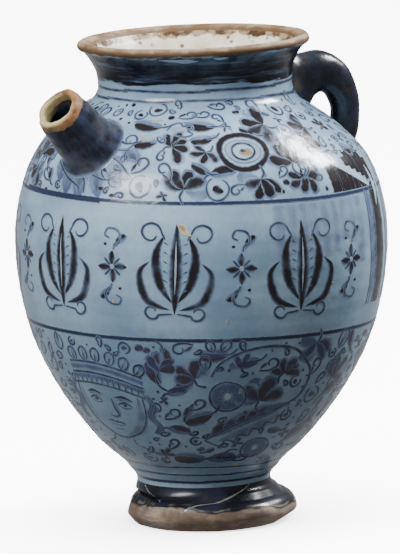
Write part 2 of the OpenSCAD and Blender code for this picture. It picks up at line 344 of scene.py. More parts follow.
@dataclass
class Skin:
    """Glazed outer surface, with the unevenness of a jar that was thrown and fired.

    A zone gives the heights where an effect begins and is full and, if it ends, where it fades and is gone.
    A place gives the height at the middle of an effect and how far it spreads.
    """

    form: JarForm
    lean: float = 1.75
    lean_pivot: float = 116.0
    lean_zone: Zone4 = (18.0, 38.0, 160.0, 208.0)
    stand: float = 1.8
    stand_zone: Point = (4.0, 24.0)
    droop: float = 3.2
    droop_zone: Zone4 = (178.0, 200.0, 210.0, 220.0)
    droop_side: Point = (20.0, 62.0)
    rim_lift: float = 2.2
    rim_tilt: float = 0.5
    rim_lift_zone: Point = (204.0, 238.0)
    rim_wave_zone: Point = (231.0, 238.0)
    rim_spread: float = 0.9
    rim_spread_zone: Point = (224.0, 236.0)
    pinch: float = 1.7
    pinch_zone: Zone4 = (24.0, 36.0, 44.0, 100.0)
    tuck: float = 1.6
    tuck_place: Point = (30.0, 5.0)
    waist_sway: float = 1.7
    sway_place: Point = (19.0, 6.0)
    foot_end: Point = (12.0, 18.0)
    flange_shift: float = 2.8
    flange_spread: float = 0.4
    base_spread: float = 1.3
    base_place: Point = (4.2, 3.2)
    chip_depth: float = 3.4
    chip_turn: float = -70.0
    chip_width: float = 0.34
    chip_zone: Point = (6.0, 11.0)
    walk_step: float = 0.5
    walk_start: float = -20.0

    def __post_init__(self) -> None:
        """Measures the outline once, from the foot's roll to the rim, for looking up places on it."""
        form, step = self.form, self.walk_step
        walk = form.foot_outside(step, self.walk_start) + form.body_outside(step) + form.flare.points(step)
        self.walk = [walk[0]]
        self.lengths = [0.0]
        for point in walk[1:]:
            gap = dist(point, self.walk[-1])
            if gap > 1e-6:
                self.walk.append(point)
                self.lengths.append(self.lengths[-1] + gap)
        self.heights = [point[1] for point in self.walk]

    def along(self, height: float) -> float:
        """Gives the length along the outline, from its start on the foot's roll, at a height."""
        i = min(max(1, bisect.bisect_left(self.heights, height)), len(self.heights) - 1)
        low, high = self.heights[i - 1], self.heights[i]
        share = (height - low) / (high - low)
        return self.lengths[i - 1] + share * (self.lengths[i] - self.lengths[i - 1])

    def outline(self, along: float) -> tuple[Point, Point]:
        """Looks up a place on the outline.

        Args:
            along: Length along the outline from its start on the foot's roll.

        Returns:
            The point and the outward normal, each as radius and height.
        """
        i = min(max(1, bisect.bisect_left(self.lengths, along)), len(self.lengths) - 1)
        (r0, z0), (r1, z1) = self.walk[i - 1], self.walk[i]
        length = self.lengths[i] - self.lengths[i - 1]
        share = (along - self.lengths[i - 1]) / length
        return (r0 + share * (r1 - r0), z0 + share * (z1 - z0)), ((z1 - z0) / length, (r0 - r1) / length)

    def uneven(self, turn: float, height: float) -> float:
        """Gives how far the thrown wall stands proud of the true outline.

        Args:
            turn: Place around the jar in radians from the front.
            height: Height in millimetres.

        Returns:
            Millimetres outwards.
        """
        wide = 0.35 * sin(2 * turn + 0.6) + 0.22 * sin(3 * turn + 1.9 + height * 0.011)
        rings = 0.055 * sin(height * 0.83 + 0.5 * sin(turn))
        rings += 0.04 * sin(height * 0.37 + turn)
        wave = 0.22 * sin(7 * turn + 1) + 0.18 * sin(13 * turn + 2.2)
        rim = ease(*self.rim_wave_zone, height) * wave
        rim += self.rim_spread * ease(*self.rim_spread_zone, height)
        narrow = plateau(self.pinch_zone, height, self.pinch)
        narrow += self.tuck * swell(*self.tuck_place, height)
        return wide + rings + rim - narrow + self.pressed(turn, height)

    def pressed(self, turn: float, height: float) -> float:
        """Gives how far the foot's edge was pushed or pressed before firing, or chipped after it.

        Args:
            turn: Place around the foot in radians from the front.
            height: Height in millimetres.

        Returns:
            Millimetres outwards.
        """
        low = 1 - ease(*self.foot_end, height)
        if low == 0:
            return 0.0
        wave = 0.4 * sin(3 * turn + 0.7) + 0.25 * sin(8 * turn + height * 0.3)
        wave += 0.14 * sin(19 * turn)
        near = apart(turn, radians(self.chip_turn))
        ragged = self.chip_depth + 0.5 * sin(turn * 40)
        chip = swell(0, self.chip_width, near) * ease(*self.chip_zone, height) * ragged
        side = sin(turn)
        right = max(0.0, side)
        pushed = ease(1 - 5 * right, 7 - right, height) * (self.flange_shift * side + self.flange_spread)
        pushed += self.base_spread * side ** 2 * swell(*self.base_place, height)
        return low * (wave - chip + pushed)

    def settle(self, point: Vector) -> Vector:
        """Moves a point as the jar settled in the kiln.

        The jar stands up on its foot, its belly leans, its waist sways, its rim is lifted and tilted,
        and its right shoulder droops.

        Args:
            point: Point in millimetres.

        Returns:
            The settled point in metres.
        """
        tilt = plateau(self.lean_zone, point.z, radians(self.lean))
        side = point.dot(RIGHT)
        slant = side * tan(radians(self.rim_tilt))
        rise = self.stand * ease(*self.stand_zone, point.z)
        rise += ease(*self.rim_lift_zone, point.z) * (self.rim_lift + slant)
        rise -= plateau(self.droop_zone, point.z, self.droop * ease(*self.droop_side, side))
        sway = tilt * (point.z - self.lean_pivot) - self.waist_sway * swell(*self.sway_place, point.z)
        return (point + RIGHT * sway + Vector((0, 0, rise - tilt * side))) * MM

    def place(self, turn: float, along: float, lift: float) -> Vector:
        """Finds a point on or near the skin.

        Args:
            turn: Place around the jar in radians from the front.
            along: Length along the outline from its start on the foot's roll.
            lift: Millimetres above the skin.

        Returns:
            The point in metres.
        """
        (radius, height), (out, up) = self.outline(along)
        radius += self.uneven(turn, height) + lift * out
        angle = FRONT + turn
        return self.settle(Vector((radius * cos(angle), radius * sin(angle), height + lift * up)))

    def above(self, point: Vector) -> tuple[float, Vector]:
        """Measures how far a point stands above the skin.

        Args:
            point: Point in millimetres, not yet settled.

        Returns:
            The distance in millimetres, below zero inside the wall, and the skin's normal.
        """
        (radius, _), (out, up) = self.outline(self.along(point.z))
        flat = Vector((point.x, point.y, 0))
        turn = atan2(flat.y, flat.x) - FRONT
        normal = flat.normalized() * out + Vector((0, 0, up))
        return (flat.length - radius - self.uneven(turn, point.z)) * out, normal

    def onto(self, point: Vector, lift: float) -> Vector:
        """Moves a point near the skin onto it, along the skin's normal.

        Args:
            point: Point in millimetres, not yet settled.
            lift: Millimetres above the skin where the point ends.

        Returns:
            The point in millimetres, not yet settled.
        """
        for _ in range(8):
            distance, normal = self.above(point)
            point = point - normal * (distance - lift)
        return point

    def held(self, point: Vector, depth: float) -> Vector:
        """Keeps a point from going deeper into the wall than a depth in millimetres."""
        return self.onto(point, -depth) if self.above(point)[0] < -depth else point

    def shift(self, bm: Work) -> None:
        """Makes turned work in metres uneven and settles it, and stores each point's level before that."""
        level = bm.verts.layers.float.new("level")
        for vert in bm.verts:
            flat = Vector((vert.co.x, vert.co.y, 0)) / MM
            height = vert.co.z / MM
            vert[level] = vert.co.z
            if flat.length > 1e-6:
                turn = atan2(flat.y, flat.x) - FRONT
                flat *= 1 + self.uneven(turn, height) / max(flat.length, 20.0)
            vert.co = self.settle(Vector((flat.x, flat.y, height)))


def turned(outline: Path, segments: int = 192) -> Work:
    """Turns a closed outline around the jar's axis.

    Args:
        outline: Points as radius and height in millimetres.
        segments: Steps around the axis.

    Returns:
        A closed bmesh in metres.
    """
    bm = bmesh.new()
    after = [*outline[1:], outline[0]]
    kept = [point for point, follower in zip(outline, after) if dist(point, follower) > 1e-4]
    verts = [bm.verts.new((r * MM, 0, z * MM)) for r, z in kept]
    pairs = zip(verts, verts[1:] + verts[:1])
    edges = [bm.edges.new(pair) for pair in pairs if max(vert.co.x for vert in pair) > 0]
    around = {"cent": (0, 0, 0), "axis": (0, 0, 1), "angle": 2 * pi}
    bmesh.ops.spin(bm, geom=verts + edges, steps=segments, use_merge=True, **around)
    bmesh.ops.remove_doubles(bm, verts=bm.verts, dist=1e-6)
    bmesh.ops.recalc_face_normals(bm, faces=bm.faces)
    return bm


def lofted(rings: Sequence[Ring], segments: int, closed: bool) -> Work:
    """Draws a tube through rings.

    Args:
        rings: For each ring, a function from the turn in radians to a point in metres.
        segments: Points in a ring.
        closed: True to join the last ring to the first, False to cap both ends.

    Returns:
        A closed bmesh.
    """
    bm = bmesh.new()
    turn = bm.verts.layers.float.new("turn")
    share = bm.verts.layers.float.new("share")
    verts = bmesh.ops.create_circle(bm, cap_ends=False, radius=1, segments=segments)["verts"]
    first = loop = list(bm.edges)
    for vert in verts:
        vert[turn] = atan2(vert.co.y, vert.co.x)
    for number, ring in enumerate(rings):
        if number:
            made = bmesh.ops.extrude_edge_only(bm, edges=loop)["geom"]
            verts = [item for item in made if isinstance(item, bmesh.types.BMVert)]
            loop = [item for item in made if isinstance(item, bmesh.types.BMEdge)]
        for vert in verts:
            vert.co = ring(vert[turn])
            vert[share] = number / (len(rings) - 1)
    if closed:
        bmesh.ops.bridge_loops(bm, edges=first + loop)
    else:
        bmesh.ops.edgeloop_fill(bm, edges=first)
        bmesh.ops.edgeloop_fill(bm, edges=loop)
    bm.verts.layers.float.remove(bm.verts.layers.float["turn"])
    bmesh.ops.recalc_face_normals(bm, faces=bm.faces)
    return bm


def make_piece(
    name: str, bm: Work, material: Material, slot: str, nodes: Sequence[str] = ()
) -> Piece:
    """Turns finished mesh work into a piece of the jar and reports it.

    Args:
        name: Name of the piece.
        bm: The mesh work, in metres; it is freed.
        material: Finish of the piece.
        slot: Material slot of the record; not used.
        nodes: CAD nodes that the piece stands for.

    Returns:
        The new object.
    """
    for edge in bm.edges:
        if len(edge.link_faces) == 2 and edge.calc_face_angle(0.0) > SHARP_EDGE:
            edge.smooth = False
    for face in bm.faces:
        face.smooth = True
    mesh = bpy.data.meshes.new(name)
    bm.to_mesh(mesh)
    bm.free()
    mesh.materials.append(material)
    piece = bpy.data.objects.new(name, mesh)
    bpy.context.scene.collection.objects.link(piece)
    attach(piece, "root")
    if nodes:
        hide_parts(*nodes)
    LOG.info("%s: %d faces", name, len(mesh.polygons))
    return piece


@dataclass
class Nodes:
    """Short way to wire a material's nodes."""

    name: str

    def __post_init__(self) -> None:
        """Starts the material with its shader and object coordinates."""
        self.material = bpy.data.materials.new(self.name)
        self.material.use_nodes = True
        self.tree = self.material.node_tree
        self.shader = self.tree.nodes["Principled BSDF"]
        self.place = self.tree.nodes.new("ShaderNodeTexCoord").outputs["Object"]

    def link(self, source: Source, socket: Socket) -> None:
        """Links a socket or sets a plain value."""
        if isinstance(source, Socket):
            self.tree.links.new(source, socket)
        else:
            socket.default_value = source

    def add(
        self, kind: str, output: str | int, inputs: dict[str | int, Source], **settings: str | int
    ) -> Socket:
        """Adds a node.

        Args:
            kind: Kind of node.
            output: Name or number of the output that is used.
            inputs: Sockets or plain values for its inputs, by name or number.
            settings: Values for the node's own settings.

        Returns:
            The output.
        """
        node = self.tree.nodes.new("ShaderNode" + kind)
        for name, value in settings.items():
            setattr(node, name, value)
        for name, source in inputs.items():
            self.link(source, node.inputs[name])
        return node.outputs[output]

    def stretched(self, scale: Sequence[float], at: Socket | None = None) -> Socket:
        """Gives coordinates, or plain object coordinates, stretched by a scale on each axis."""
        return self.add("Mapping", "Vector", {"Vector": at or self.place, "Scale": scale})

    def noise(
        self, scale: float, detail: float = 4.0, rough: float = 0.55, at: Socket | None = None
    ) -> Socket:
        """Gives cloud noise from 0 to 1.

        Args:
            scale: Waves per metre.
            detail: Octaves.
            rough: Strength of the finer octaves.
            at: Coordinates, or None for plain object coordinates.

        Returns:
            The noise's value.
        """
        waves = {"Scale": scale, "Detail": detail, "Roughness": rough}
        return self.add("TexNoise", "Fac", {"Vector": at or self.place, **waves})

    def wander(self, scale: float, detail: float, reach: float) -> Socket:
        """Gives cloud noise around zero, with a reach from its lowest value to its highest."""
        return self.times(self.sum(Sum.SUBTRACT, self.noise(scale, detail), 0.5), reach)

    def cells(self, scale: float) -> Socket:
        """Gives the distance to scattered points, for specks and pits."""
        return self.add("TexVoronoi", "Distance", {"Vector": self.place, "Scale": scale})

    def span(self, value: Source, low: float, high: float, start: float = 0.0, end: float = 1.0) -> Socket:
        """Maps a value by a smooth step.

        Args:
            value: Value to map.
            low: Value where the step begins.
            high: Value where the step ends.
            start: Result up to the step.
            end: Result beyond the step.

        Returns:
            The result.
        """
        ends = {"From Min": low, "From Max": high, "To Min": start, "To Max": end}
        return self.add("MapRange", "Result", {"Value": value, **ends}, interpolation_type="SMOOTHSTEP")

    def sum(self, kind: Sum, first: Source, second: Source) -> Socket:
        """Joins two numbers by an arithmetic step."""
        return self.add("Math", "Value", {0: first, 1: second}, operation=kind.value)

    def plus(self, first: Source, second: Source) -> Socket:
        """Adds two numbers."""
        return self.sum(Sum.ADD, first, second)

    def times(self, first: Source, second: Source) -> Socket:
        """Multiplies two numbers."""
        return self.sum(Sum.MULTIPLY, first, second)

    def blend(self, share: Source, first: Source, second: Source) -> Socket:
        """Mixes two colours by a share."""
        return self.add("Mix", 2, {0: share, 6: first, 7: second}, data_type="RGBA")

    def stored(self, name: str) -> Socket:
        """Gives a number stored on the mesh."""
        return self.add("Attribute", "Fac", {}, attribute_name=name)

    def relief(self, height: Source, strength: float, distance: float) -> None:
        """Roughens the surface by a height in metres."""
        inputs = {"Strength": strength, "Distance": distance, "Height": height}
        self.link(self.add("Bump", "Normal", inputs), self.shader.inputs["Normal"])

    def finish(self, colour: Source, roughness: Source) -> Material:
        """Wires colour and roughness to the shader and returns the material."""
        self.link(colour, self.shader.inputs["Base Color"])
        self.link(roughness, self.shader.inputs["Roughness"])
        return self.material


def tone(red: float, green: float, blue: float) -> Colour:
    """Turns display values from 0 to 255 into a linear colour."""
    shares = [value / 255 for value in (red, green, blue)]
    linear = [share / 12.92 if share < 0.0404 else ((share + 0.055) / 1.055) ** 2.4 for share in shares]
    return (linear[0], linear[1], linear[2], 1.0)


@dataclass(frozen=True)
class PaleGlaze:
    """Grey-blue tin glaze with clouding, pits and iron specks."""

    pale: Colour = tone(153, 180, 200)
    deep: Colour = tone(118, 147, 173)
    speck: Colour = tone(52, 58, 70)
    rust: Colour = tone(122, 112, 92)

    def colour(self, nodes: Nodes) -> Socket:
        """Wires the clouded and speckled colour."""
        cloud = nodes.blend(nodes.span(nodes.noise(26, 5), 0.3, 0.7), self.pale, self.deep)
        fine = nodes.blend(nodes.span(nodes.noise(420, 3), 0.45, 0.8, 0.0, 0.35), cloud, self.deep)
        broad = nodes.span(nodes.noise(60, 3), 0.62, 0.74)
        stain = nodes.times(broad, nodes.span(nodes.noise(300, 3), 0.5, 0.75))
        stained = nodes.blend(nodes.times(stain, 0.7), fine, self.rust)
        pits = nodes.span(nodes.cells(210), 0.035, 0.085, 1.0, 0.0)
        sparse = nodes.times(pits, nodes.span(nodes.noise(90, 2), 0.52, 0.62))
        return nodes.blend(sparse, stained, self.speck)

    def material(self) -> Material:
        """Makes the plain glaze."""
        nodes = Nodes("pale_glaze")
        swells = nodes.plus(nodes.noise(150, 2), nodes.times(nodes.noise(900, 2), 0.12))
        nodes.relief(swells, 0.22, 0.0011)
        return nodes.finish(self.colour(nodes), nodes.span(nodes.noise(70, 3), 0.3, 0.75, 0.15, 0.28))


@dataclass(frozen=True)
class CollarGlaze:
    """Pale glaze with a dark brushed band, under a lip that is worn to the clay."""

    base: PaleGlaze
    blue: Colour = tone(36, 44, 68)
    black: Colour = tone(13, 14, 22)
    thin: Colour = tone(176, 190, 198)
    clay: Colour = tone(156, 138, 114)
    patch: Colour = tone(108, 80, 54)
    brown: Colour = tone(98, 72, 46)

    def banded(self, nodes: Nodes, height: Socket, seat: float) -> Socket:
        """Wires the pale glaze and the brushed band over it.

        Args:
            nodes: The material's nodes.
            height: Height on the collar in metres.
            seat: Height of the collar's seat in millimetres.

        Returns:
            The colour.
        """
        brush = nodes.noise(1.0, 5, 0.6, nodes.stretched((22, 22, 260)))
        streaky = nodes.times(nodes.sum(Sum.SUBTRACT, brush, 0.5), 0.010)
        edge = nodes.plus(nodes.plus(height, nodes.wander(34, 3, 0.008)), streaky)
        band = nodes.span(edge, (seat + 2.9) * MM, (seat + 4.3) * MM)
        streak = nodes.span(brush, 0.26, 0.52, 0.62, 1.0)
        dark = nodes.blend(nodes.span(brush, 0.30, 0.58), self.blue, self.black)
        return nodes.blend(nodes.times(band, streak), self.base.colour(nodes), dark)

    def material(self, form: JarForm) -> Material:
        """Makes the collar's glaze.

        Args:
            form: Outline, for the heights.

        Returns:
            The material.
        """
        nodes = Nodes("collar_glaze")
        top = form.jar_height
        height = nodes.stored("level")
        painted = self.banded(nodes, height, form.neck_height)
        level = nodes.plus(height, nodes.wander(120, 4, 0.0045))
        rubbed = nodes.span(level, (top - 5.2) * MM, (top - 4.6) * MM)
        patchy = nodes.times(rubbed, nodes.span(nodes.noise(40, 3), 0.44, 0.6, 0.0, 0.8))
        rimmed = nodes.blend(patchy, painted, self.thin)
        worn = nodes.span(level, (top - 4.2) * MM, (top - 3.6) * MM)
        patches = nodes.blend(nodes.span(nodes.noise(75, 5, 0.65), 0.36, 0.64), self.clay, self.patch)
        clays = nodes.blend(nodes.span(level, (top - 2.1) * MM, (top - 0.3) * MM), self.brown, patches)
        nodes.relief(nodes.plus(nodes.noise(150, 2), nodes.times(worn, nodes.noise(500, 4))), 0.3, 0.0011)
        return nodes.finish(nodes.blend(worn, rimmed, clays), nodes.span(worn, 0.0, 1.0, 0.2, 0.62))


@dataclass(frozen=True)
class BrushedPaint:
    """Cobalt paint under the glaze, thin at the stroke's edge and dark in its middle.

    Where it was mixed unevenly, the middle turns to another colour in clouds.
    """

    thin: Colour
    full: Colour
    gloss: float = 0.2
    other: Colour | None = None

    def material(self, name: str) -> Material:
        """Makes the paint, which reads its thickness from the mesh."""
        nodes = Nodes(name)
        thick = nodes.plus(nodes.stored("tone"), nodes.wander(200, 4, 0.7))
        nodes.relief(nodes.noise(150, 2), 0.2, 0.0011)
        full = self.full
        if self.other is not None:
            full = nodes.blend(nodes.span(nodes.noise(75, 2), 0.44, 0.6), self.full, self.other)
        return nodes.finish(nodes.blend(nodes.span(thick, 0.05, 0.95), self.thin, full), self.gloss)


@dataclass(frozen=True)
class DarkGlaze:
    """Blue-black glaze that breaks to brown where it is thin."""

    black: Colour = tone(22, 23, 28)
    blue: Colour = tone(44, 50, 66)
    brown: Colour = tone(74, 66, 48)

    def colour(self, nodes: Nodes) -> Socket:
        """Wires the streaked colour."""
        body = nodes.blend(nodes.span(nodes.noise(58, 5), 0.38, 0.72), self.black, self.blue)
        thin = nodes.times(nodes.span(nodes.noise(85, 4), 0.56, 0.72), 0.75)
        return nodes.blend(thin, body, self.brown)

    def material(self) -> Material:
        """Makes the plain dark glaze."""
        nodes = Nodes("handle_glaze")
        nodes.relief(nodes.plus(nodes.noise(95, 3), nodes.times(nodes.noise(700, 2), 0.15)), 0.3, 0.0016)
        return nodes.finish(self.colour(nodes), nodes.span(nodes.noise(120, 3), 0.35, 0.8, 0.24, 0.42))


@dataclass(frozen=True)
class BareClay:
    """Worn clay, brown with grey and rusty grains."""

    light: Colour = tone(190, 166, 140)
    dark: Colour = tone(122, 102, 86)
    shade: Colour = tone(132, 120, 120)
    edge: Colour = tone(150, 146, 132)

    def colour(self, nodes: Nodes) -> Socket:
        """Wires the grained colour."""
        streak = nodes.noise(1.0, 5, 0.6, nodes.stretched((45, 45, 330)))
        drawn = nodes.blend(nodes.span(streak, 0.36, 0.62), self.shade, self.light)
        cloud = nodes.blend(nodes.span(nodes.noise(70, 5, 0.65), 0.36, 0.66), self.dark, drawn)
        return nodes.blend(nodes.span(nodes.noise(800, 3), 0.5, 0.75, 0.0, 0.55), cloud, self.dark)

    def glazed_above(self, glaze: DarkGlaze, height: float) -> Material:
        """Makes clay with dark glaze run down to an uneven edge.

        Args:
            glaze: The dark glaze.
            height: Mean height of the edge in millimetres.

        Returns:
            The material.
        """
        nodes = Nodes("foot_glaze")
        level = nodes.plus(nodes.stored("level"), nodes.wander(30, 3, 0.014))
        glazed = nodes.span(level, (height - 0.4) * MM, (height + 0.4) * MM)
        above = nodes.span(level, (height + 0.3) * MM, (height + 0.8) * MM)
        below = nodes.span(level, (height + 1.2) * MM, (height + 1.9) * MM, 1.0, 0.0)
        broken = nodes.times(nodes.times(above, below), nodes.span(nodes.noise(45, 3), 0.48, 0.6, 0.0, 0.7))
        run = nodes.blend(broken, glaze.colour(nodes), self.edge)
        grain = nodes.times(nodes.noise(420, 5, 0.65), nodes.span(glazed, 0, 1, 1.0, 0.12))
        nodes.relief(nodes.plus(grain, nodes.times(glazed, 0.7)), 0.45, 0.0009)
        colour = nodes.blend(glazed, self.colour(nodes), run)
        return nodes.finish(colour, nodes.span(glazed, 0.0, 1.0, 0.6, 0.27))


@dataclass(frozen=True)
class CreamGlaze:
    """Cream glaze inside the jar, with brown specks and a worn edge."""

    cream: Colour = tone(238, 232, 214)
    dull: Colour = tone(214, 202, 176)
    brown: Colour = tone(78, 58, 40)
    tan: Colour = tone(166, 144, 114)

    def material(self, worn_from: float) -> Material:
        """Makes the lining.

        Args:
            worn_from: Height in millimetres above which it is worn.

        Returns:
            The material.
        """
        nodes = Nodes("cream_lining")
        cloud = nodes.blend(nodes.span(nodes.noise(55, 5), 0.35, 0.7), self.cream, self.dull)
        dots = nodes.span(nodes.cells(220), 0.16, 0.32, 1.0, 0.0)
        specks = nodes.times(dots, nodes.span(nodes.noise(70, 2), 0.42, 0.5))
        spotted = nodes.blend(nodes.times(specks, 0.85), cloud, self.brown)
        level = nodes.plus(nodes.stored("level"), nodes.wander(110, 4, 0.009))
        worn = nodes.span(level, worn_from * MM, (worn_from + 1.2) * MM)
        clay = nodes.blend(nodes.span(nodes.noise(160, 4), 0.42, 0.6), self.brown, self.tan)
        nodes.relief(nodes.noise(180, 3), 0.25, 0.001)
        colour = nodes.blend(worn, spotted, clay)
        return nodes.finish(colour, nodes.span(nodes.noise(60, 3), 0.3, 0.7, 0.2, 0.4))


PAINTS = {
    WASH: (BrushedPaint(tone(132, 153, 176), tone(80, 98, 134)), "blue_glaze"),
    OCHRE: (BrushedPaint(tone(152, 162, 156), tone(138, 122, 86)), "blue_glaze"),
    DARK: (BrushedPaint(tone(108, 128, 156), tone(34, 29, 33)), "dark_glaze"),
    LINE: (BrushedPaint(tone(112, 132, 158), tone(42, 50, 74)), "dark_glaze"),
    SCRATCH: (BrushedPaint(tone(168, 188, 204), tone(140, 162, 184)), "blue_glaze"),
    CHIP: (BrushedPaint(tone(206, 190, 154), tone(128, 104, 74), 0.6), "bare_clay"),
}
# The foliage's dark: plum with navy clouds, and lighter than the shoulder's dark as painted light for the
# dimmer lower body.
FOLIAGE_DARK_PAINTED_LIGHTER = BrushedPaint(tone(108, 128, 154), tone(66, 58, 72), other=tone(62, 70, 104))


@dataclass
class Vessel:
    """Thrown body, collar, foot and lining.

    A piece's method takes its finish, and gives back the new object.
    """

    form: JarForm
    skin: Skin
    spacing: float = 2.2
    fine_spacing: float = 1.2
    lip_spacing: float = 0.6
    foot_spacing: float = 0.8
    foot_start: float = -50.0
    inside_spacing: float = 4.0
    fine_segments: int = 256
    lining_segments: int = 128
    glaze_edge: float = 9.6
    lining_wear: float = 5.6

    def body(self, material: Material) -> Piece:
        """Turns the belly and shoulder, with the floor and the stem."""
        form = self.form
        stem = form.waist_height - form.stem_length
        outline = [(0.0, stem), (form.stem_radius, stem), (form.stem_radius, form.waist_height)]
        outline += form.body_outside(self.spacing)
        outline += reversed(form.inside(self.spacing * 2, form.wall, form.floor_height))
        bm = turned(outline)
        self.skin.shift(bm)
        return make_piece("jar_body", bm, material, "blue_glaze", ["body", "neck_slip"])

    def collar(self, material: Material) -> Piece:
        """Turns the flared collar with its rounded, uneven lip."""
        form = self.form
        outline = form.flare.points(self.fine_spacing) + form.lip.points(self.lip_spacing)
        top = form.jar_height - form.lip_radius / 2
        outline += reversed(form.collar_inside(self.fine_spacing, form.wall, top))
        bm = turned(outline, self.fine_segments)
        self.skin.shift(bm)
        return make_piece("jar_collar", bm, material, "blue_glaze", ["neck"])

    def foot(self, material: Material) -> Piece:
        """Turns the rolled foot, with its chips and its pressed, uneven base."""
        form = self.form
        base = form.base_radius
        stem = form.waist_height - form.stem_length
        outline = [(0, 0), (base * 0.5, 0), (base - form.base_edge, 0), (base, form.base_edge)]
        outline += form.foot_outside(self.foot_spacing, self.foot_start)
        outline += [(form.stem_radius, form.waist_height), (form.stem_radius, stem), (0, stem)]
        bm = turned(outline, self.fine_segments)
        self.skin.shift(bm)
        return make_piece("jar_foot", bm, material, "bare_clay", ["foot", "foot_slip"])

    def lining(self, material: Material) -> Piece:
        """Turns the thin glaze that lines the inside."""
        form = self.form
        wall, floor, spacing = form.wall, form.floor_height, self.inside_spacing
        deep = wall + form.glaze
        top = form.jar_height - form.lining_drop
        outer = form.inside(spacing, wall, floor) + form.collar_inside(spacing / 2, wall, top)
        inner = form.inside(spacing, deep, floor + form.glaze) + form.collar_inside(spacing / 2, deep, top)
        bm = turned(outer + list(reversed(inner)), self.lining_segments)
        self.skin.shift(bm)
        return make_piece("jar_lining", bm, material, "cream_glaze", ["interior_glaze"])

    def build(self, pale: PaleGlaze, dark: DarkGlaze, clay: BareClay, cream: CreamGlaze) -> None:
        """Turns and dresses the four pieces.

        Args:
            pale: Glaze of body and collar.
            dark: Glaze on the foot.
            clay: Clay of the foot.
            cream: Glaze of the lining.
        """
        self.body(pale.material())
        self.collar(CollarGlaze(pale).material(self.form))
        self.foot(clay.glazed_above(dark, self.glaze_edge))
        self.lining(cream.material(self.form.jar_height - self.lining_wear))


@dataclass
class Spout:
    """Thrown spout with a worn tip and a root that is smoothed out on the shoulder."""

    skin: Skin
    tip: Point = (95.7, 216.2)
    slope: float = 44.7
    tip_radius: float = 11.6
    taper: float = 0.14
    bore: float = 8.0
    bore_steps: tuple[float, ...] = (42.0, 30.0, 18.0, 9.0, 4.0)
    bore_depth: float = 4.5
    lip: float = 1.6
    notch_turn: float = 2.5
    root_reach: float = 6.0
    root_spread: float = 4.0
    longest: float = 70.0
    tip_rings: int = 10
    side_rings: int = 14
    segments: int = 72

    def __post_init__(self) -> None:
        """Sets the spout's own axes: out along it, and across it."""
        lift = radians(self.slope)
        self.out = Vector((-cos(lift), 0, sin(lift)))
        self.side = Vector((0, -1, 0))
        self.up = self.side.cross(self.out)
        self.mouth = Vector((-self.tip[0], 0, self.tip[1]))

    def point(self, turn: float, back: float, radius: float) -> Vector:
        """Gives a point in millimetres around the spout's axis, back from the tip."""
        across = self.side * cos(turn) + self.up * sin(turn)
        return self.mouth - self.out * back + across * radius

    def depth(self, turn: float) -> float:
        """Finds how far back from the tip the spout's side meets the shoulder, by halving."""
        low, high = 0.0, self.longest
        for _ in range(30):
            middle = (low + high) / 2
            spot = self.point(turn, middle, self.tip_radius + self.taper * middle)
            (radius, _), _ = self.skin.outline(self.skin.along(min(spot.z, 230.0)))
            if hypot(spot.x, spot.y) > radius:
                low = middle
            else:
                high = middle
        return high

    def wavy(self, turn: float) -> float:
        """Gives the worn tip's unevenness in millimetres, with one notch."""
        near = apart(turn, self.notch_turn)
        notch = 2.4 * swell(0, 0.2, near) - 0.9 * swell(0.5, 0.18, near)
        wave = 0.35 * sin(2 * turn + 1.0) + 0.3 * sin(5 * turn + 0.3) + 0.2 * sin(9 * turn)
        return wave + notch

    def outer(self, turn: float, back: float) -> Vector:
        """Gives a point on the outside, with its faint throwing lines."""
        line = 0.14 * sin(back * 0.9 + turn)
        return self.point(turn, back, self.tip_radius + self.taper * back + line)

    def rooted(self, turn: float, end: float, share: float) -> Vector:
        """Gives a point on the root, which curves out onto the shoulder.

        Args:
            turn: Place around the spout in radians.
            end: Distance back from the tip where the spout's side meets the shoulder.
            share: Place on the curve, from 0 at its top to 1 on the shoulder.

        Returns:
            The point in millimetres, not yet settled.
        """
        meet = self.outer(turn, end)
        across = self.point(turn, end, 1.0) - self.point(turn, end, 0.0)
        low = self.skin.onto(meet + across * self.root_spread, -0.1)
        above = self.outer(turn, end - self.root_reach).lerp(meet, share)
        return above.lerp(meet.lerp(low, share), share)

    def rings(self) -> list[Ring]:
        """Lists the rings from deep in the bore, over the tip, to under the shoulder's skin."""
        settle = self.skin.settle
        wall = functools.cache(self.depth)
        first = self.lip + 0.4
        across = (self.tip_radius - self.bore) / 2

        def hole(back: float) -> Ring:
            """Gives a ring of the bore, which goes no deeper into the jar's wall than it may."""
            return lambda turn: settle(self.skin.held(self.point(turn, back, self.bore), self.bore_depth))

        def edge(angle: float) -> Ring:
            """Gives a ring of the rounded tip, which is worn uneven."""
            back = self.lip * (1 - sin(angle))
            radius = self.bore + across - across * cos(angle)
            return lambda turn: settle(self.point(turn, back + self.wavy(turn) * 0.6, radius))

        def side(share: float) -> Ring:
            """Gives a ring of the outside, at a share of the way from the tip to the root."""
            return lambda turn: settle(
                self.outer(turn, first + (wall(turn) - self.root_reach - first) * share))

        def root(share: float) -> Ring:
            """Gives a ring of the root, at a share of the way down to the shoulder."""
            return lambda turn: settle(self.rooted(turn, wall(turn), share))

        shares = [i / self.side_rings for i in range(1, self.side_rings + 1)]
        bores = [hole(back) for back in self.bore_steps]
        tips = [edge(pi * i / self.tip_rings) for i in range(self.tip_rings + 1)]
        return bores + tips + [side(share) for share in shares] + [root(share) for share in shares]

    def build(self, material: Material) -> Piece:
        """Lofts the spout over its bore."""
        bm = lofted(self.rings(), self.segments, closed=True)
        return make_piece("jar_spout", bm, material, "dark_glaze", ["spout", "spout_slip"])


